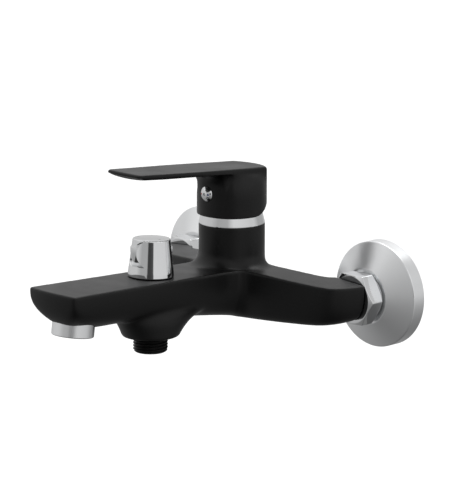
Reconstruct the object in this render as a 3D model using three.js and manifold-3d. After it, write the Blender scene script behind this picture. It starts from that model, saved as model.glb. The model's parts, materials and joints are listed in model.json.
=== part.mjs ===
// Wall mounted bath faucet with a single lever and a diverter, in millimetres.
//
// Frame: the origin lies on the finished wall, midway between the two water inlets.
// +X runs along the wall, -Y comes out of the wall towards the user, +Z is up.
// The wall is the plane Y = 0; the wall threads of the S-unions reach behind it.

import * as THREE from 'three';
import { mergeVertices } from 'three/addons/utils/BufferGeometryUtils.js';
import Module from 'manifold-3d';

const wasm = await Module();
wasm.setup();

// ---------------------------------------------------------------- driving dimensions

const GAP = 0.3;                    // clearance between neighbouring pieces
const INLET_X = 75;                 // half of the 150 mm inlet spacing

const COLUMN = { y: -57, r: 20.3, top: 41 };
const SPOUT = { tipY: -204.4, cornerY: -201.8, halfWidth: 20.4, sternY: -184 };
const ARM = { rearY: -30.5, collarR: 12.3 };
const TOP_Z = 15.4;                 // top face of the casting around the column
const DECK_FILLET = 8;              // fillet between the top face and the column

const POCKET = { r: 17.9, floor: 7 };
const CARTRIDGE = { r: 17.5, floor: 8.6, top: 34.5, neckR: 13.2, neckTop: 38.2 };
const PORTS = { hot: [-7, -1.5], cold: [7, -1.5], mixed: [0, -7] };   // from the column's axis
const PORT_R = 2.4;
const PIVOT_Z = 34;                 // stem pin, the lever tilts about it
const STEM = { side: 5.6, top: 62.5, reach: 10.6, ballR: 1.9 };

const TRIM = { bottom: 41.3, top: 46.6, r: 20.2, topR: 18.9 };
const HUB = { r: 21.4, bottom: 46.4, rearBottom: 54.5, cavityR: 19.4, cavityTop: 60 };
const CAP_Z = 60.8;                 // index cap on the hub's front, over the grub screw
const BLADE = { tipY: -146.8, halfWidth: 16.1, tipHalfWidth: 14.2, z: 76.2, slope: 0.076 };

const DECK_RISE = 0.0346;           // the spout's top face climbs towards its tip by this slope
const DECK_TILT = Math.atan(DECK_RISE);   // the diverter stands square on that face
const DIVERTER = { y: -125, boreR: 10.5, floor: 3 };
const KNOB = { baseR: 13.9, topR: 11.3, bottom: 17.9, top: 40.5 };
const PAD = { wallR: 16, wallX: -1.2, wallY: 5.05, z: 31, height: 13, width: 16.2, x: -1.1 };
const PAD_LENS = { r: 7.7, turn: THREE.MathUtils.degToRad(36), z: 32 };

const BOSS = { r: 16.8, bottom: -18.9, boreR: 9 };
const NIPPLE = { r: 10.48, bottom: -28.7, boreR: 6.5 };

const AERATOR = { y: -186.5, z: -7.4, tilt: THREE.MathUtils.degToRad(8), r: 12.1, height: 10 };

const ESCUTCHEON = { r: 32.5, rim: 9.1, depth: 17.5, neckR: 17.4, holeR: 13.7, wall: 1.3 };
const NUT = { acrossFlats: 30, front: -30.2, rear: -19.2, lip: 2, lipR: 8.5, boreR: 13.5 };
const TAIL = { r: 7.6, boreR: 5.6, collarR: 12.8, collar: [-27.9, -25.9], inner: -41 };
const UNION = { r: 13.1, boreR: 7.5, end: -23.3, wallR: 10.4, wallEnd: 20, offset: -5 };

// ---------------------------------------------------------------- materials

const finish = (color, roughness, metalness) =>
  new THREE.MeshStandardMaterial({ color, roughness, metalness });

const BLACK = finish(0x1c1c1d, 0.42, 0.4);
const CHROME = finish(0xdcdee0, 0.08, 1);
const BRASS = finish(0xb99548, 0.35, 1);
const STEEL = finish(0xa8abad, 0.3, 1);
const CERAMIC = finish(0xf1efe8, 0.25, 0);
const PLASTIC = finish(0xe8e8e4, 0.5, 0);
const RUBBER = finish(0x222222, 0.85, 0);

// ---------------------------------------------------------------- solid helpers

const lerp = THREE.MathUtils.lerp;
const smooth = THREE.MathUtils.smoothstep;
const v2 = (x, y) => new THREE.Vector2(x, y);

// Signed volume of a triangle mesh, positive when its faces point outwards.
function signedVolume(positions, triangles) {
  const corner = (i) => new THREE.Vector3().fromArray(positions, 3 * triangles[i]);
  let six = 0;
  for (let t = 0; t < triangles.length; t += 3) {
    six += corner(t).dot(corner(t + 1).cross(corner(t + 2)));
  }
  return six / 6;
}

// Welds a closed geometry and turns it into a solid that can be joined and cut.
function solid(geometry) {
  const bare = geometry.clone();
  for (const name of Object.keys(bare.attributes)) {
    if (name !== 'position') bare.deleteAttribute(name);
  }
  const welded = mergeVertices(bare, 1e-4);
  const positions = welded.attributes.position.array;
  const kept = [];
  const index = welded.index.array;
  for (let t = 0; t < index.length; t += 3) {
    const [a, b, c] = [index[t], index[t + 1], index[t + 2]];
    if (a !== b && b !== c && c !== a) kept.push(a, b, c);
  }
  if (signedVolume(positions, kept) < 0) kept.reverse();
  return new wasm.Manifold(new wasm.Mesh({
    numProp: 3,
    vertProperties: new Float32Array(positions),
    triVerts: new Uint32Array(kept),
  }));
}

function geometryOf(body) {
  const mesh = body.getMesh();
  const geometry = new THREE.BufferGeometry();
  geometry.setAttribute('position', new THREE.BufferAttribute(mesh.vertProperties.slice(), 3));
  geometry.setIndex(new THREE.BufferAttribute(mesh.triVerts.slice(), 1));
  geometry.computeVertexNormals();
  return geometry;
}

const cut = (body, ...tools) => tools.reduce((result, tool) => result.subtract(tool), body);
const fuse = (body, ...more) => more.reduce((result, other) => result.add(other), body);

// A turned piece standing on Z, from a closed list of [radius, height] corners.
function turned(profile, segments = 20) {
  const points = profile.map(([r, h]) => v2(r, h));
  if (profile[0][0] > 0) points.push(points[0].clone());
  return solid(new THREE.LatheGeometry(points, segments).rotateX(Math.PI / 2));
}

const rod = (r, z0, z1, segments) =>
  turned([[0, z0], [r, z0], [r, z1], [0, z1]], segments);

const tube = (inner, outer, z0, z1, segments) =>
  turned([[inner, z0], [outer, z0], [outer, z1], [inner, z1]], segments);

// A rubber O-ring with a round section.
function oRing(r, section, z, sides = 6) {
  const profile = [];
  for (let i = 0; i < sides; i++) {
    const a = 2 * Math.PI * i / sides;
    profile.push([r + section * Math.cos(a), z + section * Math.sin(a)]);
  }
  return turned(profile, 18);
}

// A rod from one point to another, for drillings.
function drilling(from, to, r, segments = 12) {
  const start = new THREE.Vector3(...from);
  const along = new THREE.Vector3(...to).sub(start);
  const length = along.length();
  const geometry = new THREE.CylinderGeometry(r, r, length, segments);
  geometry.translate(0, length / 2, 0);
  const turn = new THREE.Quaternion().setFromUnitVectors(
    new THREE.Vector3(0, 1, 0), along.normalize());
  geometry.applyQuaternion(turn);
  geometry.translate(start.x, start.y, start.z);
  return solid(geometry);
}

function block(width, depth, height, x, y, z) {
  const geometry = new THREE.BoxGeometry(width, depth, height);
  geometry.translate(x, y, z);
  return solid(geometry);
}

function named(name, body, material) {
  const mesh = new THREE.Mesh(geometryOf(body), material);
  mesh.name = name;
  return mesh;
}

function groupAt(x, y, z, ...children) {
  const group = new THREE.Group();
  group.position.set(x, y, z);
  group.add(...children);
  return group;
}

// ---------------------------------------------------------------- body casting

// Height of the casting's top face: level at the column, rising along the spout
// and falling along the arms.
function deckHeight(x, y) {
  const spoutRise = DECK_RISE * Math.max(0, -72 - y);
  const armFall = 0.0758 * Math.max(0, Math.abs(x) - COLUMN.r);
  return TOP_Z + spoutRise - armFall;
}

// Lowest height of the casting along the spout's centre line and along each arm.
const spoutKeel = (y) => lerp(-17.5, -2.8, THREE.MathUtils.clamp((-57 - y) / 127, 0, 1) ** 0.82);
const armKeel = (t) => lerp(-17.5, -12.3, t ** 1.5);

// Edge curves of the top face, right half, from the tip round to the rear.
const tipEdge = new THREE.QuadraticBezierCurve(
  v2(0, SPOUT.tipY), v2(10, SPOUT.tipY), v2(18.6, SPOUT.cornerY - 0.9));
const cornerEdge = new THREE.QuadraticBezierCurve(
  v2(18.6, SPOUT.cornerY - 0.9), v2(20.5, SPOUT.cornerY - 0.4), v2(SPOUT.halfWidth, -199.5));
const spoutEdge = new THREE.SplineCurve([
  v2(SPOUT.halfWidth, -199.5), v2(20.2, -180), v2(19.7, -150), v2(19.4, -115),
  v2(18.9, -90), v2(19, -79), v2(20.6, -70.9)]);
const armFrontEdge = new THREE.SplineCurve([
  v2(20.6, -70.9), v2(24.5, -67.6), v2(36.8, -64.9), v2(55, -60.5), v2(70.6, -56.3),
  v2(78.6, -52.6), v2(83.4, -46.2), v2(86, -38), v2(INLET_X + ARM.collarR, ARM.rearY)]);
const armRearEdge = new THREE.SplineCurve([
  v2(15.4, -41.2), v2(22, -42.9), v2(32, -41.3), v2(48, -37.8), v2(58, -35),
  v2(INLET_X - ARM.collarR, ARM.rearY)]);

const halfTurn = Math.PI / 2;
const REAR_R = COLUMN.r + 1.6;
const rearAngle = Math.atan2(-41.2 - COLUMN.y, 15.4);

function rearEdge(t) {
  const r = lerp(Math.hypot(15.4, -41.2 - COLUMN.y), REAR_R, t);
  const a = lerp(rearAngle, halfTurn, t);
  return v2(r * Math.cos(a), COLUMN.y + r * Math.sin(a));
}

// One stretch of the hull: from its top edge down and inwards to the keel line.
// edge(t) and spine(t) are plan points, keel(t) is the height at the spine, and the
// fullness is 2 for an elliptical section and more for a squarer one.
const HULL_ROWS = 6;

function hullStretch(steps, edge, spine, keel, fullness = () => 2.5) {
  return { steps, edge, spine, keel, fullness };
}

function hullPoint(stretch, t, row) {
  const edge = stretch.edge(t);
  const spine = stretch.spine(t);
  const angle = halfTurn * row / HULL_ROWS;
  const power = 2 / stretch.fullness(t);
  const inward = 1 - Math.max(0, Math.cos(angle)) ** power;
  const down = Math.sin(angle) ** power;
  const top = deckHeight(edge.x, edge.y);
  return new THREE.Vector3(
    lerp(edge.x, spine.x, inward), lerp(edge.y, spine.y, inward),
    lerp(top, stretch.keel(t), down));
}

function pushQuad(out, a, b, c, d) {
  for (const p of [a, b, c, a, c, d]) out.push(p.x, p.y, p.z);
}

function hullStretches() {
  const column = v2(0, COLUMN.y);
  const stern = v2(0, SPOUT.sternY);
  const inlet = v2(INLET_X, ARM.rearY);
  const tipFullness = 2.05;
  const armSpine = (t) => armFrontEdge.getPoint(t).add(armRearEdge.getPoint(t))
    .multiplyScalar(0.5).lerp(column, (1 - t) ** 6).lerp(inlet, t ** 12);
  const sternKeel = () => spoutKeel(stern.y);
  return [
    hullStretch(3, (t) => tipEdge.getPoint(t), () => stern, sternKeel, () => tipFullness),
    hullStretch(2, (t) => cornerEdge.getPoint(t), () => stern, sternKeel, () => tipFullness),
    hullStretch(10, (t) => spoutEdge.getPoint(t), (t) => stern.clone().lerp(column, t),
      (t) => spoutKeel(lerp(stern.y, column.y, t)), (t) => lerp(tipFullness, 2.5, smooth(t, 0, 0.4))),
    hullStretch(10, (t) => armFrontEdge.getPoint(t), armSpine, armKeel),
    hullStretch(10, (t) => armRearEdge.getPoint(1 - t), (t) => armSpine(1 - t), (t) => armKeel(1 - t)),
    hullStretch(3, rearEdge, () => column, () => armKeel(0)),
  ];
}

function pushFan(out, ring) {
  for (let i = 1; i + 1 < ring.length; i++) {
    for (const p of [ring[0], ring[i], ring[i + 1]]) out.push(p.x, p.y, p.z);
  }
}

function bodyHull() {
  const stretches = hullStretches();
  const triangles = [];
  const outline = [];
  for (const stretch of stretches) {
    for (let i = 0; i < stretch.steps; i++) {
      outline.push(hullPoint(stretch, i / stretch.steps, 0));
      for (let row = 0; row < HULL_ROWS; row++) {
        const corner = (di, dr) => hullPoint(stretch, (i + di) / stretch.steps, row + dr);
        pushQuad(triangles, corner(0, 0), corner(0, 1), corner(1, 1), corner(1, 0));
      }
    }
    if (stretch === stretches[3]) {
      outline.push(hullPoint(stretch, 1, 0));
      pushCap(triangles, stretches[3], stretches[4]);
    }
  }
  outline.push(hullPoint(stretches[5], 1, 0));
  const mirrored = [];
  for (let i = 0; i < triangles.length; i += 9) {
    for (const j of [0, 6, 3]) {
      mirrored.push(-triangles[i + j], triangles[i + j + 1], triangles[i + j + 2]);
    }
  }
  const left = outline.slice(1, -1).reverse().map((p) => new THREE.Vector3(-p.x, p.y, p.z));
  const loop = outline.concat(left);
  const deck = deckTriangles(loop);
  const geometry = new THREE.BufferGeometry();
  const all = new Float32Array(triangles.concat(mirrored, deck));
  geometry.setAttribute('position', new THREE.BufferAttribute(all, 3));
  return solid(geometry);
}

// The flat rear face of an arm, a fan from the middle of its top edge.
function pushCap(out, front, rear) {
  const rim = [];
  for (let row = 0; row <= HULL_ROWS; row++) rim.push(hullPoint(front, 1, row));
  for (let row = HULL_ROWS - 1; row >= 0; row--) rim.push(hullPoint(rear, 0, row));
  pushFan(out, rim);
}

// The top face, which stays open over the fillet that climbs the column, and the
// fillet and column themselves, closed by the column's top disc.
function deckTriangles(loop) {
  const sides = 32;
  const filletRows = 3;
  const rings = [];
  const reach = (angle) => {
    const towards = v2(Math.cos(angle), Math.sin(angle));
    const edge = Math.min(...loop.map((p) => edgeDistance(p, towards)));
    return Math.min(DECK_FILLET, Math.max(0.8, edge - COLUMN.r - 0.7));
  };
  for (let row = 0; row <= filletRows; row++) {
    const lift = halfTurn * row / filletRows;
    rings.push(circle(sides, (angle) => {
      const r = COLUMN.r + reach(angle) * (1 - Math.sin(lift));
      const x = r * Math.cos(angle);
      const y = COLUMN.y + r * Math.sin(angle);
      const foot = deckHeight(x, y);
      return new THREE.Vector3(x, y, foot + DECK_FILLET * (1 - Math.cos(lift)));
    }));
  }
  rings.push(circle(sides, (angle) => new THREE.Vector3(
    COLUMN.r * Math.cos(angle), COLUMN.y + COLUMN.r * Math.sin(angle), COLUMN.top)));

  const out = [];
  const plan = (points) => points.map((p) => v2(p.x, p.y));
  const all = loop.concat(rings[0]);
  for (const face of THREE.ShapeUtils.triangulateShape(plan(loop), [plan(rings[0])])) {
    for (const i of face) out.push(all[i].x, all[i].y, all[i].z);
  }
  for (let k = 0; k + 1 < rings.length; k++) {
    for (let i = 0; i < sides; i++) {
      const j = (i + 1) % sides;
      pushQuad(out, rings[k][i], rings[k][j], rings[k + 1][j], rings[k + 1][i]);
    }
  }
  pushFan(out, rings.at(-1));
  return out;
}

// Distance from the column's axis to an outline point, for points near a direction.
function edgeDistance(point, towards) {
  const offset = v2(point.x, point.y - COLUMN.y);
  return offset.dot(towards) > 0.94 * offset.length() ? offset.length() : Infinity;
}

function circle(sides, place) {
  return Array.from({ length: sides }, (_, i) => place(2 * Math.PI * i / sides));
}

const diverterFrame = (body) => body.rotate([THREE.MathUtils.radToDeg(-DECK_TILT), 0, 0])
  .translate([0, DIVERTER.y, 0]);

// Boss under the spout that carries the shower outlet. It is round at its foot and
// flares along the spout as it climbs into the hull.
function outletBoss() {
  const levels = [
    [BOSS.r - 1.4, BOSS.r - 1.4, BOSS.bottom], [BOSS.r, BOSS.r, BOSS.bottom + 1.4],
    [17.4, 18.6, -14.5], [17.8, 20.6, -11.5], [18.1, 23.6, -8.5], [18.3, 28.5, -5.5],
    [18.4, 30, -1], [18.5, 25, 5]];
  const sides = 28;
  const rings = levels.map(([across, along, z]) => circle(sides, (angle) =>
    new THREE.Vector3(across * Math.cos(angle), along * Math.sin(angle), z)));
  const triangles = [];
  for (let k = 0; k + 1 < rings.length; k++) {
    for (let i = 0; i < sides; i++) {
      const j = (i + 1) % sides;
      pushQuad(triangles, rings[k][i], rings[k][j], rings[k + 1][j], rings[k + 1][i]);
    }
  }
  pushFan(triangles, rings[0].slice().reverse());
  pushFan(triangles, rings.at(-1));
  const geometry = new THREE.BufferGeometry();
  geometry.setAttribute('position', new THREE.Float32BufferAttribute(triangles, 3));
  return solid(geometry).translate([0, DIVERTER.y, 0]);
}

function bodyCasting() {
  const tools = [];
  const column = (body) => body.translate([0, COLUMN.y, 0]);
  tools.push(column(rod(POCKET.r, POCKET.floor, COLUMN.top + 1, 32)));
  for (const side of [-1, 1]) {
    const x = side * INLET_X;
    const port = [side * PORTS.cold[0], COLUMN.y + PORTS.cold[1]];
    tools.push(drilling([x, ARM.rearY + 1, 0], [x, -42, 0], TAIL.r + GAP, 20));
    tools.push(drilling([x, -41, 0], [x, -46, 0], TAIL.boreR));
    tools.push(drilling([x + side, -43, 0], [...port, -3], 5));
    tools.push(drilling([...port, POCKET.floor + 1], [...port, -4], PORT_R));
  }
  const mixed = COLUMN.y + PORTS.mixed[1];
  tools.push(drilling([0, mixed, POCKET.floor + 1], [0, mixed, -6], PORT_R));
  tools.push(drilling([0, mixed + 2, -5], [0, DIVERTER.y - 1.5, -2.5], 2.8));

  tools.push(diverterFrame(rod(DIVERTER.boreR, DIVERTER.floor, 30, 28)));
  tools.push(drilling([0, DIVERTER.y, DIVERTER.floor + 1], [0, DIVERTER.y, -3], 2.3));
  const spoutPort = DIVERTER.y - 6;
  tools.push(drilling([0, spoutPort, DIVERTER.floor + 1], [0, spoutPort, -2], 2.2));
  tools.push(drilling([0, spoutPort + 1.5, -2], [0, AERATOR.y + 4, 4.6], 2.8));
  const showerPort = [-6, DIVERTER.y];
  tools.push(drilling([...showerPort, DIVERTER.floor + 1], [...showerPort, -13], 1.9));
  tools.push(drilling([0, DIVERTER.y, -9.5], [0, DIVERTER.y, BOSS.bottom - 1], BOSS.boreR, 20));
  tools.push(aeratorFrame(rod(AERATOR.r + GAP, -8, AERATOR.height + 1, 28)));
  return cut(fuse(bodyHull(), outletBoss()), ...tools);
}

// ---------------------------------------------------------------- inlets

// Inlet pieces are turned about their own Z, which points into the wall.
function unionNut() {
  const length = NUT.rear - NUT.front;
  const cornerR = NUT.acrossFlats / Math.sqrt(3);
  const hexagon = new THREE.CylinderGeometry(cornerR, cornerR, length, 6, 1, false, Math.PI / 6);
  hexagon.rotateX(Math.PI / 2).translate(0, 0, (NUT.front + NUT.rear) / 2);
  const flatR = NUT.acrossFlats / 2;
  const slope = 1.3;
  const chamfered = turned([
    [0, NUT.front], [flatR, NUT.front], [cornerR + 0.2, NUT.front + slope],
    [cornerR + 0.2, NUT.rear - slope], [flatR, NUT.rear], [0, NUT.rear]], 24);
  const lipEnd = NUT.front + NUT.lip;
  return cut(solid(hexagon).intersect(chamfered),
    rod(NUT.lipR, NUT.front - 1, lipEnd + 0.5), rod(NUT.boreR, lipEnd, NUT.rear + 1));
}

function inletTailpiece() {
  const [collarFront, collarRear] = TAIL.collar;
  return turned([
    [TAIL.boreR, TAIL.inner], [TAIL.r, TAIL.inner], [TAIL.r, collarFront],
    [TAIL.collarR, collarFront], [TAIL.collarR, collarRear], [TAIL.boreR, collarRear]]);
}

const inletGasket = () =>
  tube(8.2, UNION.r - 0.2, TAIL.collar[1] + GAP, UNION.end - GAP);

// Eccentric S-union: the nut side is in line with the inlet, the wall side is offset.
function sUnion() {
  const nutSide = turned([[0, UNION.end], [UNION.r - 0.8, UNION.end],
    [UNION.r, UNION.end + 0.8], [UNION.r, -5], [0, -5]]);
  const wallSide = turned([[0, -9], [UNION.wallR, -9], [UNION.wallR, UNION.wallEnd - 1],
    [UNION.wallR - 1, UNION.wallEnd], [0, UNION.wallEnd]]).translate([0, -UNION.offset, 0]);
  return cut(fuse(nutSide, wallSide),
    rod(UNION.boreR, UNION.end - 1, -7, 16),
    rod(6.4, -9, UNION.wallEnd + 1, 16).translate([0, -UNION.offset, 0]));
}

function escutcheon() {
  const { r, rim, depth, neckR, holeR, wall } = ESCUTCHEON;
  return turned([
    [r, 0], [r, -rim + 0.5], [r - 0.5, -rim], [neckR + 0.4, -depth + 0.3], [neckR - 0.4, -depth],
    [holeR, -depth], [holeR, -depth + wall], [neckR - 0.6, -depth + wall],
    [r - wall - 0.4, -rim + wall], [r - wall, -rim + wall + 0.6], [r - wall, 0]], 32);
}

function inletSet(side, x) {
  const set = groupAt(x, 0, 0,
    named(`${side}_inlet_tailpiece`, inletTailpiece(), BRASS),
    named(`${side}_union_nut`, unionNut(), CHROME),
    named(`${side}_inlet_gasket`, inletGasket(), RUBBER),
    named(`${side}_s_union`, sUnion(), CHROME),
    named(`${side}_escutcheon`, escutcheon(), CHROME));
  set.rotation.x = -Math.PI / 2;
  return set;
}

// ---------------------------------------------------------------- mixing cartridge

const portHoles = (z0, z1, r) => Object.values(PORTS).map(
  ([x, y]) => rod(r, z0, z1, 10).translate([x, y, 0]));

function cartridgeBase() {
  const plate = fuse(rod(CARTRIDGE.r - 1.5, CARTRIDGE.floor, 11.2, 24),
    rod(15.1, 11, 12.4, 24));
  const seats = Object.values(PORTS).map(
    ([x, y]) => rod(4, CARTRIDGE.floor - 1, CARTRIDGE.floor + 0.9, 12).translate([x, y, 0]));
  return cut(plate, ...portHoles(8, 13, PORT_R), ...seats);
}

// Flat-sided rubber ring under each port of the cartridge.
const portSeal = ([x, y]) =>
  tube(2.6, 3.7, POCKET.floor + GAP, CARTRIDGE.floor + 0.6, 12).translate([x, y, 0]);

function cartridgeHousing() {
  const { r, top, neckR, neckTop } = CARTRIDGE;
  return turned([
    [15.5, 11.5], [r, 11.5], [r, top], [neckR, top], [neckR, neckTop], [11, neckTop],
    [11, top - 1.6], [15.5, top - 1.6]], 28);
}

const DISC = { fixed: [12.7, 16.2], moving: [16.5, 19.5], carrier: [19.8, 24.3], r: 15.1 };

function fixedDisc() {
  return cut(rod(DISC.r, ...DISC.fixed, 24), ...portHoles(12, 17, PORT_R - 0.2));
}

// The moving disc has a T-shaped pocket in its lower face. The stem of the T stays over the
// mixed port, and its crossbar slides over the hot and cold ports as the valve opens.
function movingDisc() {
  const pocketZ = DISC.moving[0] + 0.3;
  const crossbar = block(15.2, 3.2, 2.6, 0, 4, pocketZ);
  const stem = block(4, 9.5, 2.6, 0, -1.75, pocketZ);
  return cut(rod(10.2, ...DISC.moving, 20), fuse(crossbar, stem));
}

function discCarrier() {
  const [bottom, top] = DISC.carrier;
  const slot = block(5.2, 5.2, 4, 0, 0, bottom + 3.3);
  return cut(rod(10.2, bottom, top, 20), slot);
}

// The rotor turns in the housing's neck and carries the stem on its pin.
function cartridgeRotor() {
  const drum = fuse(rod(15.1, 24.7, 32.5, 24), rod(10.6, 32, 42.5, 24));
  return cut(drum,
    block(7, 19.4, 30, 0, 0, 39),
    block(6, 17, 12, 0, 0, 24),
    drilling([-14, 0, PIVOT_Z], [14, 0, PIVOT_Z], 1.5));
}

// Square stem with a round boss at the pin and a ball that drives the disc carrier.
function cartridgeStem() {
  const ballZ = PIVOT_Z - STEM.reach;
  const shankHeight = STEM.top - PIVOT_Z + 3;
  const boss = drilling([-2.9, 0, PIVOT_Z], [2.9, 0, PIVOT_Z], 4.2, 16);
  const shank = block(STEM.side, STEM.side, shankHeight, 0, 0, STEM.top - shankHeight / 2);
  const tail = drilling([0, 0, PIVOT_Z], [0, 0, ballZ], 1.5, 12);
  const ball = solid(new THREE.SphereGeometry(STEM.ballR, 14, 8).translate(0, 0, ballZ));
  const pinHole = drilling([-6, 0, PIVOT_Z], [6, 0, PIVOT_Z], 1.5);
  return cut(fuse(boss, shank, tail, ball), pinHole);
}

const stemPin = () => drilling([-9.6, 0, PIVOT_Z], [9.6, 0, PIVOT_Z], 1.2, 16);

// Brass ring that screws into the column and holds the cartridge down.
function cartridgeNut() {
  const bottom = CARTRIDGE.top + GAP;
  return turned([
    [13.6, bottom], [POCKET.r - GAP, bottom], [POCKET.r - GAP, COLUMN.top + 1.2],
    [15.6, COLUMN.top + 1.2], [15.6, COLUMN.top - 1.5], [13.6, COLUMN.top - 1.5]], 28);
}

function trimRing() {
  const { bottom, top, r, topR } = TRIM;
  return turned([
    [18, bottom], [r, bottom], [r, bottom + 0.4], [topR, top], [17.4, top + 1.3],
    [15.9, top + 1.8], [15.9, top + 0.6], [17, top - 1], [18, top - 2.4]], 32);
}

function cartridgeSet() {
  return groupAt(0, COLUMN.y, 0,
    named('hot_port_seal', portSeal(PORTS.hot), RUBBER),
    named('cold_port_seal', portSeal(PORTS.cold), RUBBER),
    named('mixed_port_seal', portSeal(PORTS.mixed), RUBBER),
    named('cartridge_base', cartridgeBase(), PLASTIC),
    named('fixed_disc', fixedDisc(), CERAMIC),
    named('moving_disc', movingDisc(), CERAMIC),
    named('disc_carrier', discCarrier(), PLASTIC),
    named('cartridge_housing', cartridgeHousing(), PLASTIC),
    named('cartridge_rotor', cartridgeRotor(), PLASTIC),
    named('cartridge_stem', cartridgeStem(), BRASS),
    named('stem_pin', stemPin(), STEEL),
    named('cartridge_nut', cartridgeNut(), BRASS),
    named('trim_ring', trimRing(), CHROME));
}

// ---------------------------------------------------------------- lever

// Height of the lever's top face, which climbs towards the tip.
const leverTop = (y) => BLADE.z + BLADE.slope * (-60 - y) + 0.00012 * Math.max(0, -118 - y) ** 2;

// Plan edge of the lever's top face, right half, from the tip round to the rear.
const leverTip = new THREE.QuadraticBezierCurve(
  v2(10.6, BLADE.tipY + 0.3), v2(14.1, BLADE.tipY + 0.6), v2(BLADE.tipHalfWidth, -142.6));
const leverSide = new THREE.SplineCurve([
  v2(BLADE.tipHalfWidth, -142.6), v2(15.4, -120), v2(BLADE.halfWidth, -98),
  v2(BLADE.halfWidth, -78), v2(15.6, -58), v2(14.9, -41.7)]);

function leverOutline() {
  const right = [v2(0, BLADE.tipY), v2(5.5, BLADE.tipY + 0.1)];
  for (let i = 0; i < 3; i++) right.push(leverTip.getPoint(i / 3));
  for (let i = 0; i < 10; i++) right.push(leverSide.getPoint(i / 10));
  const start = Math.atan2(-41.7 - COLUMN.y, 14.9);
  for (let i = 0; i <= 5; i++) {
    const a = lerp(start, halfTurn, i / 5);
    right.push(v2(HUB.r * Math.cos(a), COLUMN.y + HUB.r * Math.sin(a)));
  }
  const left = right.slice(1, -1).reverse().map((p) => v2(-p.x, p.y));
  return right.concat(left);
}

// Thickness of the blade under its top face: thin at the edges, full in the middle,
// and thinner again towards the tip.
function bladeThickness(x, y) {
  const across = Math.min(1, Math.abs(x) / BLADE.halfWidth);
  const nearTip = smooth(y, BLADE.tipY, BLADE.tipY + 24);
  const middle = lerp(3.8, 4.8, nearTip);
  return lerp(middle, 2.1, across ** 2);
}

// The hub's lower rim rises at the back, to clear the trim ring when the lever lifts.
function hubRim(y) {
  return lerp(HUB.bottom, HUB.rearBottom, smooth(y, COLUMN.y - 3, COLUMN.y + HUB.r) ** 1.4);
}

function leverRings() {
  const outline = leverOutline();
  const hub = { start: 62, fillet: 8 };
  const rings = [];
  const ring = (place) => rings.push(outline.map((p) => {
    const offset = p.clone().sub(v2(0, COLUMN.y));
    return place(p, offset.length(), offset.clone().normalize());
  }));
  const at = (towards, r, z) =>
    new THREE.Vector3(towards.x * r, COLUMN.y + towards.y * r, z);
  const lower = (towards, r) => {
    const p = at(towards, r, 0);
    return leverTop(p.y) - bladeThickness(p.x, p.y);
  };

  for (const share of [0.4, 1]) {
    ring((p, r, towards) => at(towards, r * share, leverTop(COLUMN.y + towards.y * r * share)));
  }
  ring((p, r, towards) => at(towards, r, leverTop(p.y) - 1.1));
  for (const share of [0.2, 0.5, 0.8, 1]) {
    ring((p, r, towards) => {
      const end = Math.min(r, HUB.r + hub.fillet);
      const here = lerp(r, end, share);
      return at(towards, here, Math.min(lower(towards, here), leverTop(p.y) - 1.2));
    });
  }
  for (const turn of [0.33, 0.66, 1]) {
    ring((p, r, towards) => {
      const span = Math.min(hub.fillet, Math.max(0, r - HUB.r));
      const here = Math.min(r, HUB.r) + span * (1 - Math.sin(halfTurn * turn));
      const drop = hub.fillet * smooth(span, 0, hub.fillet) * (1 - Math.cos(halfTurn * turn));
      return at(towards, here, lower(towards, Math.min(r, here)) - 0.4 * turn - drop);
    });
  }
  ring((p, r, towards) => at(towards, HUB.r, hub.start));
  ring((p, r, towards) => at(towards, HUB.r, hubRim(COLUMN.y + towards.y * HUB.r)));
  return rings;
}

function leverHandle() {
  const rings = leverRings();
  const triangles = [];
  const count = rings[0].length;
  for (let k = 0; k + 1 < rings.length; k++) {
    for (let i = 0; i < count; i++) {
      const j = (i + 1) % count;
      pushQuad(triangles, rings[k][i], rings[k + 1][i], rings[k + 1][j], rings[k][j]);
    }
  }
  const crown = new THREE.Vector3(0, COLUMN.y, leverTop(COLUMN.y));
  const floor = new THREE.Vector3(0, COLUMN.y, HUB.bottom + 1);
  const last = rings.at(-1);
  for (let i = 0; i < count; i++) {
    const j = (i + 1) % count;
    for (const p of [crown, rings[0][i], rings[0][j]]) triangles.push(p.x, p.y, p.z);
    for (const p of [floor, last[j], last[i]]) triangles.push(p.x, p.y, p.z);
  }
  const geometry = new THREE.BufferGeometry();
  geometry.setAttribute('position', new THREE.Float32BufferAttribute(triangles, 3));

  const cavity = turned([
    [0, 40], [HUB.cavityR, 40], [HUB.cavityR, HUB.cavityTop - 6], [HUB.cavityR - 4, HUB.cavityTop],
    [0, HUB.cavityTop]], 28).translate([0, COLUMN.y, 0]);
  const socketBoss = rod(6.6, 52, HUB.cavityTop + 2, 16).translate([0, COLUMN.y, 0]);
  const socketSide = STEM.side + 2 * GAP;
  const socket = block(socketSide, socketSide, 20, 0, COLUMN.y, STEM.top + 1 - 10);
  const screwHole = drilling([0, COLUMN.y - 30, CAP_Z], [0, COLUMN.y, CAP_Z], 2, 16);
  const capSeat = drilling([0, COLUMN.y - 30, CAP_Z], [0, COLUMN.y - 19.3, CAP_Z], 4.9, 24);
  return cut(fuse(cut(solid(geometry), cavity), socketBoss), socket, screwHole, capSeat);
}

function grubScrew(length) {
  const hexagon = solid(new THREE.CylinderGeometry(0.9, 0.9, 2, 6)
    .rotateX(Math.PI / 2).translate(0, 0, length));
  return cut(rod(1.65, 0, length, 16), hexagon);
}

// A domed cap with a peg, about its own Z.
const indexCap = () => turned([
  [0, -1.3], [4.4, -1.3], [4.6, -1], [4.6, 0.5], [4, 1.1], [2.6, 1.6], [0, 1.85]], 20);

function facingUser(mesh, y, z) {
  mesh.rotation.x = Math.PI / 2;
  mesh.position.set(0, y, z);
  return mesh;
}

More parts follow.
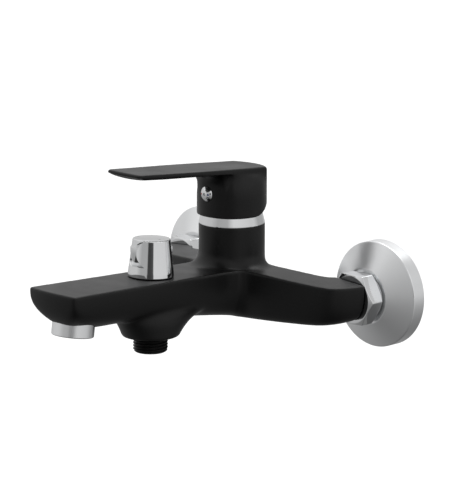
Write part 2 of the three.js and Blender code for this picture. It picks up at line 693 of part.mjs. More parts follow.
function leverSet() {
  const group = new THREE.Group();
  group.add(
    named('lever_handle', leverHandle(), BLACK),
    facingUser(named('lever_grub_screw', grubScrew(6), STEEL), COLUMN.y - 3.4, CAP_Z),
    facingUser(named('index_cap', indexCap(), CHROME), COLUMN.y - HUB.r + 0.4, CAP_Z));
  return group;
}

// ---------------------------------------------------------------- diverter

function diverterBonnet() {
  return turned([
    [9.1, 4.6], [DIVERTER.boreR - GAP, 4.6], [DIVERTER.boreR - GAP, 17.7], [12, 17.7],
    [12, 19.4], [7.6, 19.4], [7.6, 25], [4.3, 25], [4.3, 14.3], [9.1, 14.3]], 24);
}

const SPINDLE = { r: 4, flangeR: 8.6, groove: 20.2, circlip: 25.4 };

function diverterSpindle() {
  const shaft = turned([
    [0, 11.6], [SPINDLE.flangeR, 11.6], [SPINDLE.flangeR, 13.9], [SPINDLE.r, 13.9],
    [SPINDLE.r, SPINDLE.groove - 1], [3, SPINDLE.groove - 1], [3, SPINDLE.groove + 1],
    [SPINDLE.r, SPINDLE.groove + 1], [SPINDLE.r, SPINDLE.circlip - 0.1], [3.2, SPINDLE.circlip - 0.1],
    [3.2, SPINDLE.circlip + 1.1], [SPINDLE.r, SPINDLE.circlip + 1.1], [SPINDLE.r, 35], [0, 35]], 18);
  const flat = block(10, 4, 10, 0, -4.9, 31.8);
  const drivingLug = block(4, 10, 1.6, 0, 0, 11.2);
  return fuse(cut(shaft, flat), drivingLug);
}

// A ceramic disc turned by the spindle's lug; its pocket joins the middle port to one outlet.
function diverterMovingDisc() {
  const pocket = fuse(rod(2.5, 7, 9.5, 16), rod(2.5, 7, 9.5, 16).translate([0, -6, 0]),
    block(5, 6, 2.5, 0, -3, 8.25));
  return cut(rod(8.7, 8.1, 11.2, 20), pocket, block(4.8, 10.8, 2, 0, 0, 11.3));
}

const diverterPorts = (z0, z1, r) => [[0, 0], [0, -6], [-6, 0]].map(
  ([x, y]) => rod(r, z0, z1, 10).translate([x, y, 0]));

const diverterFixedDisc = () => cut(rod(8.7, 4.9, 7.8, 20), ...diverterPorts(4, 9, 1.9));
const diverterSeal = () => cut(rod(8.7, 3.3, 4.6, 20), ...diverterPorts(2, 6, 1.9));

// Spring ring with a gap, in the groove of the spindle.
function spindleCirclip() {
  const ring = tube(3.45, 5.4, SPINDLE.circlip + 0.2, SPINDLE.circlip + 0.8, 16);
  return cut(ring, block(4, 6, 3, 0, 4.5, SPINDLE.circlip));
}

// What a finger pad takes from the knob's front: all outside an upright wall, up to a round lens.
function fingerPad() {
  const { wallR, wallX, wallY, z, height, width, x } = PAD;
  const outward = new THREE.Vector3(Math.sin(PAD_LENS.turn), -Math.cos(PAD_LENS.turn), 0);
  const lens = drilling([0, 0, PAD_LENS.z],
    outward.multiplyScalar(KNOB.baseR + 6).setZ(PAD_LENS.z).toArray(), PAD_LENS.r, 36);
  return cut(block(width, 14, height, x, -KNOB.baseR + 2, z),
    rod(wallR, z - height, z + height, 72).translate([wallX, wallY, 0]), lens);
}

// A tapered knob with a finger pad on two sides, each behind a curved ridge.
function diverterKnob() {
  const { baseR, topR, bottom, top } = KNOB;
  const shell = turned([
    [0, bottom], [baseR, bottom], [baseR - 0.2, bottom + 2.2], [topR + 0.1, top - 0.9],
    [topR - 0.3, top - 0.4], [0, top]], 36);
  const cavity = rod(12.3, bottom - 1, 20, 24);
  const bore = rod(8.2, 19, 26.8, 20);
  const socket = cut(rod(4.3, 26, 35.6, 18), block(10, 4, 20, 0, -5.15, 37.1));
  const screwHole = drilling([0, 0, 31], [0, 14, 31], 1.95, 14);
  return cut(shell, fingerPad(), fingerPad().rotate([0, 0, 180]), cavity, bore, socket, screwHole);
}

function diverterSet() {
  const screw = named('knob_grub_screw', grubScrew(4), STEEL);
  screw.rotation.x = -Math.PI / 2;
  screw.position.set(0, 4.6, 31);
  const set = groupAt(0, DIVERTER.y, 0,
    named('diverter_seal', diverterSeal(), RUBBER),
    named('diverter_fixed_disc', diverterFixedDisc(), CERAMIC),
    named('diverter_moving_disc', diverterMovingDisc(), CERAMIC),
    named('diverter_spindle', diverterSpindle(), BRASS),
    named('spindle_o_ring', oRing(3.65, 0.5, SPINDLE.groove), RUBBER),
    named('diverter_bonnet', diverterBonnet(), BRASS),
    named('spindle_circlip', spindleCirclip(), STEEL),
    named('diverter_knob', diverterKnob(), CHROME),
    screw);
  set.rotation.x = -DECK_TILT;
  return set;
}

// ---------------------------------------------------------------- outlets

function showerNipple() {
  const { r, bottom, boreR } = NIPPLE;
  const shoulder = BOSS.bottom - GAP;
  return turned([
    [boreR, bottom], [r - 1, bottom], [r, bottom + 1], [r, shoulder], [BOSS.boreR - GAP, shoulder],
    [BOSS.boreR - GAP, -11], [boreR, -11]], 24);
}

// Pieces of the aerator share an axis that leans out at its lower end.
const aeratorFrame = (body) => body.rotate([THREE.MathUtils.radToDeg(-AERATOR.tilt), 0, 0])
  .translate([0, AERATOR.y, AERATOR.z]);

function aeratorHousing() {
  const { r, height } = AERATOR;
  return turned([
    [9.8, 0], [r - 0.5, 0], [r, 0.5], [r, height], [9.1, height], [9.1, 1.6], [8.6, 1.6],
    [8.6, 1]], 28);
}

function aeratorInsert() {
  const holes = [0, 1, 2, 3, 4, 5].map((i) => {
    const a = Math.PI * i / 3;
    return rod(1.5, 1, 8, 10).translate([5 * Math.cos(a), 5 * Math.sin(a), 0]);
  });
  return cut(rod(8.8, 1.9, 7, 20), rod(1.8, 1, 8, 12), ...holes);
}

function aeratorSet() {
  const set = groupAt(0, AERATOR.y, AERATOR.z,
    named('aerator_housing', aeratorHousing(), CHROME),
    named('aerator_insert', aeratorInsert(), PLASTIC),
    named('aerator_screen', cut(rod(8.8, 7.3, 7.8, 20), rod(2, 7, 9, 12)), STEEL),
    named('aerator_gasket', tube(6.6, 8.8, 8.1, 9.8, 20), RUBBER));
  set.rotation.x = -AERATOR.tilt;
  return set;
}

// ---------------------------------------------------------------- assembly

const faucet = new THREE.Group();
faucet.add(
  named('body_casting', bodyCasting(), BLACK),
  inletSet('left', -INLET_X),
  inletSet('right', INLET_X),
  cartridgeSet(),
  leverSet(),
  diverterSet(),
  groupAt(0, DIVERTER.y, 0, named('shower_outlet_nipple', showerNipple(), BLACK)),
  aeratorSet());

export default faucet;
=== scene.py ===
"""The looks of a wall mounted bath faucet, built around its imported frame.

Lengths in the shape code are millimetres in the faucet's own frame: the origin is on the
wall midway between the inlets, +X runs along the wall, -Y comes out of it and +Z is up.
"""

import json
import math

import bmesh
import bpy
import numpy as np
from mathutils import Matrix, Vector
from mathutils.geometry import delaunay_2d_cdt


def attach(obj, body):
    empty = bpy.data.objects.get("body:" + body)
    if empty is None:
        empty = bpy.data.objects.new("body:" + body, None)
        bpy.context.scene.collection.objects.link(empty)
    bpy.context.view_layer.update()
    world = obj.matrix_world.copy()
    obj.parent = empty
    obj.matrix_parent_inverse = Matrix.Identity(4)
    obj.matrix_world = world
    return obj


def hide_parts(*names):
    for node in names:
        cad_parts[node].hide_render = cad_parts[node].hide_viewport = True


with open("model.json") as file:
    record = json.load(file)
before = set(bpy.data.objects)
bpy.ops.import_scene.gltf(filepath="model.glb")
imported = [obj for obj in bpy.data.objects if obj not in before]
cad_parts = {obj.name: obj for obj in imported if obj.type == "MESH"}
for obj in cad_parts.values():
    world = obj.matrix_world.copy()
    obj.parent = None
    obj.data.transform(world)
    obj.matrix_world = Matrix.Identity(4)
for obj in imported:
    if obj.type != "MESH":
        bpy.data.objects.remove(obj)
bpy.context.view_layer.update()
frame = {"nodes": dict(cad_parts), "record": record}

MM = 0.001
BODY = "faucet_body"
SAME_POINT = 2e-6          # metres within which two corners are one
ARC_STEPS = 5              # facets of a rounded profile corner

# ---------------------------------------------------------------- sizes shared by several pieces

INLET_X = 75.0
ARM_REAR_Y = -30.5
COLUMN_Y = -57.0
COLUMN_R = 20.3
COLUMN_TOP = 40.6
TOP_Z = 15.4               # top face of the casting round the column
DECK_RISE = 0.0346         # slope of the top face along the spout
DECK_TILT = math.atan(DECK_RISE)
DIVERTER_Y = -125.0
AERATOR_AT = (0.0, -186.5, -7.4)
AERATOR_TILT = math.radians(8)
HUB_R = 21.4
CAP_Z = 60.8

# ---------------------------------------------------------------- mesh helpers


def mesh_object(name, points, faces):
    """A new object from points in millimetres; coincident points are joined."""
    mesh = bpy.data.meshes.new(name)
    work = bmesh.new()
    made = [work.verts.new([c * MM for c in p]) for p in points]
    for face in faces:
        corners = [made[i] for i in face]
        if len(set(corners)) == len(corners):
            work.faces.new(corners)
    bmesh.ops.remove_doubles(work, verts=work.verts, dist=SAME_POINT)
    bmesh.ops.dissolve_degenerate(work, edges=work.edges, dist=1e-7)
    bmesh.ops.recalc_face_normals(work, faces=work.faces)
    work.to_mesh(mesh)
    work.free()
    obj = bpy.data.objects.new(name, mesh)
    bpy.context.scene.collection.objects.link(obj)
    return obj


def skin(name, rings, loop=False):
    """A skin over rings of equally many points. Its ends are closed, or the last ring meets the first."""
    count = len(rings[0])
    points = [p for ring in rings for p in ring]
    faces = []
    for k in range(len(rings) if loop else len(rings) - 1):
        here = k * count
        there = (k + 1) % len(rings) * count
        for i in range(count):
            j = (i + 1) % count
            faces.append((here + i, here + j, there + j, there + i))
    if not loop:
        for start in (0, (len(rings) - 1) * count):
            middle = np.mean(np.array(points[start:start + count]), axis=0)
            points.append(tuple(middle))
            for i in range(count):
                faces.append((start + i, start + (i + 1) % count, len(points) - 1))
    return mesh_object(name, points, faces)


def round_ring(radius, z, sides):
    """A ring about Z; radius is one number or one per side."""
    angles = 2 * np.pi * np.arange(sides) / sides
    r = np.broadcast_to(radius, (sides,))
    return np.stack([r * np.cos(angles), r * np.sin(angles), np.full(sides, z)], 1).tolist()


def softened(profile, radius, closed=True):
    """The corners of a profile turned into arcs. A corner may bring its own radius as a third number."""
    out = []
    count = len(profile)
    for i, corner in enumerate(profile):
        here = np.array(corner[:2], float)
        if not closed and i in (0, count - 1):
            out.append(tuple(here))
            continue
        before = np.array(profile[i - 1][:2], float) - here
        after = np.array(profile[(i + 1) % count][:2], float) - here
        room = 0.45 * min(np.linalg.norm(before), np.linalg.norm(after))
        before /= np.linalg.norm(before)
        after /= np.linalg.norm(after)
        half = math.acos(max(-1.0, min(1.0, float(before @ after)))) / 2
        wanted = corner[2] if len(corner) > 2 else radius
        reach = min(room, wanted / math.tan(half)) if half < 1.55 else 0
        if reach < 1e-3:
            out.append(tuple(here))
            continue
        middle = here + (before + after) / np.linalg.norm(before + after) * reach / math.cos(half)
        start = here + before * reach - middle
        end = here + after * reach - middle
        sweep = math.pi - 2 * half
        for k in range(ARC_STEPS + 1):
            t = k / ARC_STEPS
            arm = (math.sin((1 - t) * sweep) * start + math.sin(t * sweep) * end) / math.sin(sweep)
            out.append(tuple(middle + arm))
    return out


def turned(name, profile, radius=0.25, sides=144, axis_ends=False):
    """A turned piece about Z from [radius, height] corners, closed on itself or on the axis."""
    line = softened(profile, radius, closed=not axis_ends)
    rings = [round_ring(max(r, 0.0), z, sides) for r, z in line]
    return skin(name, rings, loop=not axis_ends)


def cylinder(radius, z0, z1, sides=96):
    return skin("tool", [round_ring(radius, z0, sides), round_ring(radius, z1, sides)])


def box_tool(width, depth, z0, z1):
    w, d = width / 2, depth / 2
    corners = [(-w, -d), (w, -d), (w, d), (-w, d)]
    return skin("tool", [[(x, y, z) for x, y in corners] for z in (z0, z1)])


def moved(obj, matrix):
    """The object's mesh carried by a matrix in millimetres."""
    metres = matrix.copy()
    metres.translation = matrix.translation * MM
    obj.data.transform(metres)
    return obj


def at(x, y, z):
    return Matrix.Translation(Vector((x, y, z)))


def leaned(angle):
    """A turn about the wall's X axis."""
    return Matrix.Rotation(angle, 4, "X")


def diverter_place():
    return at(0, DIVERTER_Y, 0) @ leaned(-DECK_TILT)


def aerator_place():
    return at(*AERATOR_AT) @ leaned(-AERATOR_TILT)


def inlet_place(x):
    """At an inlet's centre on the wall, with Z into the wall."""
    return at(x, 0, 0) @ leaned(-math.pi / 2)


def cap_place(out):
    """On the hub's front at the index cap's height, with Z away from the wall."""
    return at(0, COLUMN_Y - out, CAP_Z) @ leaned(math.pi / 2)


def apply_modifiers(obj):
    graph = bpy.context.evaluated_depsgraph_get()
    fresh = bpy.data.meshes.new_from_object(obj.evaluated_get(graph))
    obj.modifiers.clear()
    old = obj.data
    obj.data = fresh
    bpy.data.meshes.remove(old)
    return obj


def combined(obj, operation, *tools):
    """A boolean with tools, which are used up."""
    for tool in tools:
        modifier = obj.modifiers.new("bool", "BOOLEAN")
        modifier.operation = operation
        modifier.solver = "MANIFOLD"
        modifier.object = tool
        apply_modifiers(obj)
        bpy.data.objects.remove(tool)
    return obj


def melted(obj, voxel, rounds, *parts):
    """The object and overlapping parts cast into one smooth skin, with corners eased by the rounds."""
    work = bmesh.new()
    for source in (obj, *parts):
        work.from_mesh(source.data)
    work.to_mesh(obj.data)
    work.free()
    for part in parts:
        bpy.data.objects.remove(part)
    remesh = obj.modifiers.new("remesh", "REMESH")
    remesh.mode = "VOXEL"
    remesh.voxel_size = voxel * MM
    smooth = obj.modifiers.new("smooth", "SMOOTH")
    smooth.factor = 0.5
    smooth.iterations = rounds
    return apply_modifiers(obj)


def eased(obj, rounds, weight):
    """More smoothing where weight(y, z), in millimetres, is above 0."""
    points = np.empty(len(obj.data.vertices) * 3)
    obj.data.vertices.foreach_get("co", points)
    points = points.reshape(-1, 3) / MM
    shares = weight(points[:, 1], points[:, 2])
    group = obj.vertex_groups.new(name="ease")
    for i in np.flatnonzero(shares > 0.01):
        group.add([int(i)], float(shares[i]), "REPLACE")
    smooth = obj.modifiers.new("ease", "SMOOTH")
    smooth.factor = 0.5
    smooth.iterations = rounds
    smooth.vertex_group = group.name
    apply_modifiers(obj)
    obj.vertex_groups.clear()
    return obj


def shaded(obj, sharp_deg=40, weighted=True):
    """Smooth shading that stays crisp past an angle, with flat faces kept flat."""
    obj.data.shade_smooth()
    obj.data.set_sharp_from_angle(angle=math.radians(sharp_deg))
    if weighted:
        modifier = obj.modifiers.new("weighted", "WEIGHTED_NORMAL")
        modifier.keep_sharp = True
    return obj


def placed(obj, material, slot, body, *nodes):
    """Gives a finished piece its material and its body, and lets it stand for CAD nodes."""
    obj.data.materials.clear()
    obj.data.materials.append(material)
    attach(obj, body)
    if nodes:
        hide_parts(*nodes)
    return obj


def lerp(a, b, t):
    return a + (b - a) * t


def smoothstep(x, low, high):
    t = np.clip((x - low) / (high - low), 0, 1)
    return t * t * (3 - 2 * t)


def soft_positive(x, width):
    """max(0, x) with its corner eased over a width."""
    return 0.5 * (x + np.sqrt(x * x + width * width))


def soft_least(a, b, width):
    """The smaller of two values with the crossing eased over a width."""
    return 0.5 * (a + b - np.sqrt((a - b) ** 2 + width * width))


def spline(points, t):
    """A point on the Catmull-Rom curve through plan points, t from 0 to 1."""
    place = (len(points) - 1) * t
    start = min(int(place), len(points) - 2)
    w = place - start
    p = [np.array(points[min(max(start + k, 0), len(points) - 1)], float) for k in (-1, 0, 1, 2)]
    v0, v1 = (p[2] - p[0]) / 2, (p[3] - p[1]) / 2
    return ((2 * p[1] - 2 * p[2] + v0 + v1) * w ** 3
            + (-3 * p[1] + 3 * p[2] - 2 * v0 - v1) * w ** 2 + v0 * w + p[1])


def bezier(a, b, c, t):
    a, b, c = (np.array(p, float) for p in (a, b, c))
    return (1 - t) ** 2 * a + 2 * (1 - t) * t * b + t ** 2 * c


# ---------------------------------------------------------------- materials


def new_material(name, color, roughness, metallic=0.0):
    """A Principled material, and its node tree with the shader."""
    material = bpy.data.materials.new(name)
    material.use_nodes = True
    tree = material.node_tree
    shader = tree.nodes["Principled BSDF"]
    shader.inputs["Base Color"].default_value = (*color, 1)
    shader.inputs["Roughness"].default_value = roughness
    shader.inputs["Metallic"].default_value = metallic
    return material, tree, shader


def noise(tree, scale, detail=2.0, stretch=(1, 1, 1)):
    """Noise in object space; the scale is in ripples per metre."""
    coordinates = tree.nodes.new("ShaderNodeTexCoord")
    mapping = tree.nodes.new("ShaderNodeMapping")
    mapping.inputs["Scale"].default_value = stretch
    texture = tree.nodes.new("ShaderNodeTexNoise")
    texture.inputs["Scale"].default_value = scale
    texture.inputs["Detail"].default_value = detail
    tree.links.new(coordinates.outputs["Object"], mapping.inputs["Vector"])
    tree.links.new(mapping.outputs["Vector"], texture.inputs["Vector"])
    return texture.outputs["Fac"]


def remapped(tree, value, low, high):
    """Noise carried from its usual 0.3 to 0.7 onto a range."""
    node = tree.nodes.new("ShaderNodeMapRange")
    node.inputs["From Min"].default_value = 0.3
    node.inputs["From Max"].default_value = 0.7
    node.inputs["To Min"].default_value = low
    node.inputs["To Max"].default_value = high
    tree.links.new(value, node.inputs["Value"])
    return node.outputs["Result"]


def colour_ramp(tree, value, low, high):
    ramp = tree.nodes.new("ShaderNodeValToRGB")
    ramp.color_ramp.elements[0].position = 0.3
    ramp.color_ramp.elements[1].position = 0.7
    ramp.color_ramp.elements[0].color = (*low, 1)
    ramp.color_ramp.elements[1].color = (*high, 1)
    tree.links.new(value, ramp.inputs["Fac"])
    return ramp.outputs["Color"]


def bump(tree, shader, height, depth_mm, strength=1.0, below=None):
    """Relief of a depth in millimetres on the shader's normal, over another relief if there is one."""
    node = tree.nodes.new("ShaderNodeBump")
    node.inputs["Distance"].default_value = depth_mm * MM
    node.inputs["Strength"].default_value = strength
    tree.links.new(height, node.inputs["Height"])
    if below is not None:
        tree.links.new(below, node.inputs["Normal"])
    tree.links.new(node.outputs["Normal"], shader.inputs["Normal"])
    return node.outputs["Normal"]


def satin_black():
    """Fine-grained satin powder coat, with faint handling marks in its sheen."""
    material, tree, shader = new_material("satin_black", (0.004, 0.004, 0.0041), 0.4)
    shader.inputs["Specular IOR Level"].default_value = 0.265
    handled = noise(tree, 55, 3)
    tree.links.new(remapped(tree, handled, 0.35, 0.42), shader.inputs["Roughness"])
    tint = colour_ramp(tree, noise(tree, 900, 2), (0.0035, 0.0035, 0.0036), (0.005, 0.005, 0.0051))
    tree.links.new(tint, shader.inputs["Base Color"])
    orange_peel = bump(tree, shader, noise(tree, 420, 2), 0.012, 0.5)
    bump(tree, shader, noise(tree, 4200, 2), 0.006, 0.6, orange_peel)
    return material


def chrome(name, roughness, grey):
    """Plated chrome: how rough and how bright it is both wander between two values."""
    dull, bright = ((level, level * 1.01, level * 1.02) for level in grey)
    material, tree, shader = new_material(name, dull, roughness[0], 1)
    tree.links.new(remapped(tree, noise(tree, 90, 4), *roughness), shader.inputs["Roughness"])
    tree.links.new(colour_ramp(tree, noise(tree, 25, 2), dull, bright), shader.inputs["Base Color"])
    bump(tree, shader, noise(tree, 130, 1), 0.004, 0.25)
    return material


def machined(name, low, high, roughness, stretch):
    """Bare turned metal with fine tool marks along one direction."""
    material, tree, shader = new_material(name, low, roughness, 1)
    marks = noise(tree, 800, 3, stretch)
    tree.links.new(colour_ramp(tree, marks, low, high), shader.inputs["Base Color"])
    tree.links.new(remapped(tree, marks, roughness - 0.07, roughness + 0.08),
                   shader.inputs["Roughness"])
    bump(tree, shader, marks, 0.01, 0.4)
    return material


def moulded(name, low, high, roughness, grain, specular=0.5):
    """Plastic, rubber or ceramic with a slight mottle and grain."""
    material, tree, shader = new_material(name, low, roughness)
    shader.inputs["Specular IOR Level"].default_value = specular
    mottle = noise(tree, 300, 3)
    tree.links.new(colour_ramp(tree, mottle, low, high), shader.inputs["Base Color"])
    tree.links.new(remapped(tree, noise(tree, 1200, 2), roughness - 0.05, roughness + 0.05),
                   shader.inputs["Roughness"])
    bump(tree, shader, noise(tree, 2500, 2), grain, 0.5)
    return material


SATIN_BLACK = satin_black()
CHROME = chrome("chrome", (0.03, 0.085), (0.71, 0.76))
SOFT_CHROME = chrome("soft_chrome", (0.29, 0.35), (0.84, 0.89))
BRASS = machined("brass", (0.62, 0.43, 0.17), (0.78, 0.58, 0.28), 0.3, (1, 0.05, 1))
STEEL = machined("steel", (0.5, 0.51, 0.52), (0.66, 0.67, 0.68), 0.3, (0.1, 1, 1))
CERAMIC = moulded("ceramic", (0.82, 0.79, 0.72), (0.9, 0.88, 0.83), 0.2, 0.003)
PLASTIC = moulded("plastic", (0.74, 0.74, 0.71), (0.82, 0.82, 0.8), 0.45, 0.01)
RUBBER = moulded("rubber", (0.012, 0.012, 0.012), (0.025, 0.025, 0.026), 0.75, 0.03, 0.3)
HOT_ENAMEL = moulded("hot_enamel", (0.42, 0.02, 0.015), (0.5, 0.03, 0.02), 0.25, 0.002)
COLD_ENAMEL = moulded("cold_enamel", (0.012, 0.035, 0.16), (0.02, 0.05, 0.22), 0.25, 0.002)
SLOT_MATERIAL = {
    "satin_black": SATIN_BLACK, "chrome": CHROME, "brass": BRASS, "steel": STEEL,
    "ceramic": CERAMIC, "plastic": PLASTIC, "rubber": RUBBER,
}

# ---------------------------------------------------------------- body casting

HULL_ROWS = 26             # rows from the eased rim down to the keel
RIM_ROWS = 4
EDGE_R = 1.1
FULLNESS = 2.5             # power of the hull's superelliptic sections
KEEL_Z = -17.5             # underside at the column
TIP_KEEL_DROP = 1.6
TIP_Y = -204.4
STERN_Y = -184.0           # the sections of the tip all aim here
TIP_ROUNDS = 500
DECK_FILLET = 8.0
DECK_SIDES = 160
DECK_GRID = 3.0
FILLET_ROWS = 12
FILLET_ROUNDS = 12
LEAST_FILLET = 0.35
RIM_GAP = 0.25             # flat stretch kept between the fillet and the rim
CASTING_VOXEL = 0.62
CARTRIDGE_BORE_R = 17.9
DIVERTER_BORE_R = 10.5
OUTLET_BORE_R = 9.0
AERATOR_BORE_R = 12.95
INLET_BORE_R = 7.9
SPOUT_EDGE = [(20.4, -199.5), (20.2, -180), (19.7, -150), (19.4, -115), (18.9, -90), (19, -79),
              (20.6, -70.9)]
ARM_FRONT = [(20.6, -70.9), (24.5, -67.6), (36.8, -64.9), (55, -60.5), (70.6, -56.3),
             (78.6, -52.6), (83.4, -46.2), (86, -38), (87.3, ARM_REAR_Y)]
REAR_START = (15.4, -41.2)
ARM_REAR = [REAR_START, (22, -42.9), (32, -41.3), (48, -37.8), (58, -35), (62.7, ARM_REAR_Y)]
COLUMN_AT = np.array([0, COLUMN_Y])
STERN_AT = np.array([0, STERN_Y])
INLET_AT = np.array([INLET_X, ARM_REAR_Y])
REAR_FROM_COLUMN = np.array(REAR_START) - COLUMN_AT


def deck_height(x, y):
    """Top face of the casting: level at the column, rising along the spout, falling along the arms."""
    spout = DECK_RISE * soft_positive(-72 - y, 5)
    arms = 0.0758 * soft_positive(np.abs(x) - COLUMN_R, 7)
    return TOP_Z + spout - arms


def spout_keel(y):
    """Underside of the spout, rising to the tip with a last dip under the aerator."""
    tail = float(smoothstep(y, -150, -182))
    return lerp(KEEL_Z, -2.8, min(max((COLUMN_Y - y) / 127, 0), 1) ** 0.82) - TIP_KEEL_DROP * tail


def arm_keel(t):
    return lerp(KEEL_Z, -12.3, t ** 1.5)


def arm_spine(t):
    middle = (spline(ARM_FRONT, t) + spline(ARM_REAR, t)) / 2
    return lerp(lerp(middle, COLUMN_AT, (1 - t) ** 6), INLET_AT, t ** 12)


def rear_edge(t):
    r = lerp(math.hypot(*REAR_FROM_COLUMN), COLUMN_R + 1.6, t)
    a = lerp(math.atan2(REAR_FROM_COLUMN[1], REAR_FROM_COLUMN[0]), math.pi / 2, t)
    return COLUMN_AT + r * np.array([math.cos(a), math.sin(a)])


# Stretches of the right half: steps, edge, spine and keel height.
TIP_CORNER = (18.6, -202.7)
STRETCHES = [
    (22, lambda t: bezier((0, TIP_Y), (10, TIP_Y), TIP_CORNER, t), lambda t: STERN_AT,
     lambda t: spout_keel(STERN_Y)),
    (10, lambda t: bezier(TIP_CORNER, (20.5, -202.2), SPOUT_EDGE[0], t), lambda t: STERN_AT,
     lambda t: spout_keel(STERN_Y)),
    (90, lambda t: spline(SPOUT_EDGE, t), lambda t: lerp(STERN_AT, COLUMN_AT, t),
     lambda t: spout_keel(lerp(STERN_Y, COLUMN_Y, t))),
    (80, lambda t: spline(ARM_FRONT, t), arm_spine, arm_keel),
    (60, lambda t: spline(ARM_REAR, 1 - t), lambda t: arm_spine(1 - t), lambda t: arm_keel(1 - t)),
    (20, rear_edge, lambda t: COLUMN_AT, lambda t: arm_keel(0)),
]
ARM_FRONT_STRETCH = 3      # it ends at the corner of the arm's open end


def hull_column(edge, inward_dir, spine, keel):
    """One section of the hull from the deck's rim, over the eased edge and down to the keel."""
    top = float(deck_height(edge[0], edge[1]))
    points = []
    for k in range(RIM_ROWS):
        a = math.pi / 2 * k / RIM_ROWS
        p = edge + inward_dir * EDGE_R * (1 - math.sin(a))
        points.append((p[0], p[1], float(deck_height(p[0], p[1])) - EDGE_R * (1 - math.cos(a))))
    power = 2 / FULLNESS
    first = math.asin((EDGE_R / (top - keel)) ** (FULLNESS / 2))
    for row in range(HULL_ROWS + 1):
        a = lerp(first, math.pi / 2, row / HULL_ROWS)
        inward = 1 - max(0.0, math.cos(a)) ** power
        p = lerp(edge, spine, inward)
        points.append((p[0], p[1], lerp(top, keel, math.sin(a) ** power)))
    return points


def outline_columns():
    """Sections all the way round: right half from the tip to the rear, then its mirror."""
    edges, rest, breaks = [], [], []
    for number, (steps, edge, spine, keel) in enumerate(STRETCHES):
        last = number in (ARM_FRONT_STRETCH, len(STRETCHES) - 1)
        for i in range(steps + (1 if last else 0)):
            t = i / steps
            edges.append(np.array(edge(t), float))
            rest.append((np.array(spine(t), float), float(keel(t))))
        if number == ARM_FRONT_STRETCH:
            breaks.append(len(edges) - 1)
    right = []
    for i, (edge, (spine, keel)) in enumerate(zip(edges, rest)):
        before = edges[i - 1] if i and i - 1 not in breaks else edge
        after = edges[i + 1] if i + 1 < len(edges) and i not in breaks else edge
        along = after - before
        if i in (0, len(edges) - 1):
            along = np.array([1.0, 0.0]) * (1 if i == 0 else -1)
        inward_dir = np.array([-along[1], along[0]]) / np.linalg.norm(along)
        if i in breaks or i - 1 in breaks:
            inward_dir = np.array([-1.0 if i in breaks else 1.0, 0.0])
        right.append(hull_column(edge, inward_dir, spine, keel))
    left = [[(-x, y, z) for x, y, z in column] for column in right[-2:0:-1]]
    return right + left


def ray_reach(rim, angle):
    """Distance from the column's axis to the rim of the deck along a direction."""
    c, s = math.cos(angle), math.sin(angle)
    best = math.inf
    for i in range(len(rim)):
        ax, ay = rim[i][0], rim[i][1] - COLUMN_Y
        bx, by = rim[i - 1][0], rim[i - 1][1] - COLUMN_Y
        cross_a, cross_b = c * ay - s * ax, c * by - s * bx
        if (cross_a > 0) != (cross_b > 0):
            t = cross_a / (cross_a - cross_b)
            along = c * lerp(ax, bx, t) + s * lerp(ay, by, t)
            if along > 0:
                best = min(best, along)
    return best


def fillet_reach(rim):
    """How far the column's fillet spreads along each direction, kept inside the rim and evened out."""
    raw = np.array([ray_reach(rim, 2 * math.pi * i / DECK_SIDES) for i in range(DECK_SIDES)])
    most = np.maximum(LEAST_FILLET, raw - COLUMN_R - RIM_GAP)
    reach = np.minimum(DECK_FILLET, most)
    for _ in range(FILLET_ROUNDS):
        reach = np.minimum((np.roll(reach, 1) + 2 * reach + np.roll(reach, -1)) / 4, most)
    return reach


def column_rings(reach):
    """Rings from the fillet's foot on the deck up to the column's top."""
    rings = []
    for row in range(FILLET_ROWS + 1):
        lift = math.pi / 2 * row / FILLET_ROWS
        ring = []
        for i in range(DECK_SIDES):
            a = 2 * math.pi * i / DECK_SIDES
            r = COLUMN_R + reach[i] * (1 - math.sin(lift))
            x, y = r * math.cos(a), COLUMN_Y + r * math.sin(a)
            ring.append((x, y, float(deck_height(x, y)) + DECK_FILLET * (1 - math.cos(lift))))
        rings.append(ring)
    for z in (lerp(rings[-1][0][2], COLUMN_TOP, 0.5), COLUMN_TOP):
        rings.append([(x, y + COLUMN_Y, z) for x, y, _ in round_ring(COLUMN_R, 0, DECK_SIDES)])
    return rings


def deck_plan(rim, foot, reach):
    """The deck between its rim and the fillet's foot, as points and faces."""
    inner = [(gx + 0.5, gy + 0.3) for gx in np.arange(-90, 90, DECK_GRID)
             for gy in np.arange(-206, -20, DECK_GRID)]
    plan = [Vector(p[:2]) for p in rim] + [Vector(p[:2]) for p in foot] + [Vector(p) for p in inner]
    edges = [(i, (i + 1) % len(rim)) for i in range(len(rim))]
    edges += [(len(rim) + i, len(rim) + (i + 1) % DECK_SIDES) for i in range(DECK_SIDES)]
    flat, _, faces, _, _, _ = delaunay_2d_cdt(plan, edges, [list(range(len(rim)))], 1, 1e-4)
    points = [(p[0], p[1], float(deck_height(p[0], p[1]))) for p in flat]
    kept = []
    for face in faces:
        cx = sum(flat[i][0] for i in face) / len(face)
        cy = sum(flat[i][1] for i in face) / len(face) - COLUMN_Y
        side = int(round(math.atan2(cy, cx) / (2 * math.pi) * DECK_SIDES)) % DECK_SIDES
        hole = max(COLUMN_R + 0.2, COLUMN_R + reach[side] - 0.12)
        if cx * cx + cy * cy > hole ** 2:
            kept.append(tuple(face))
    return points, kept


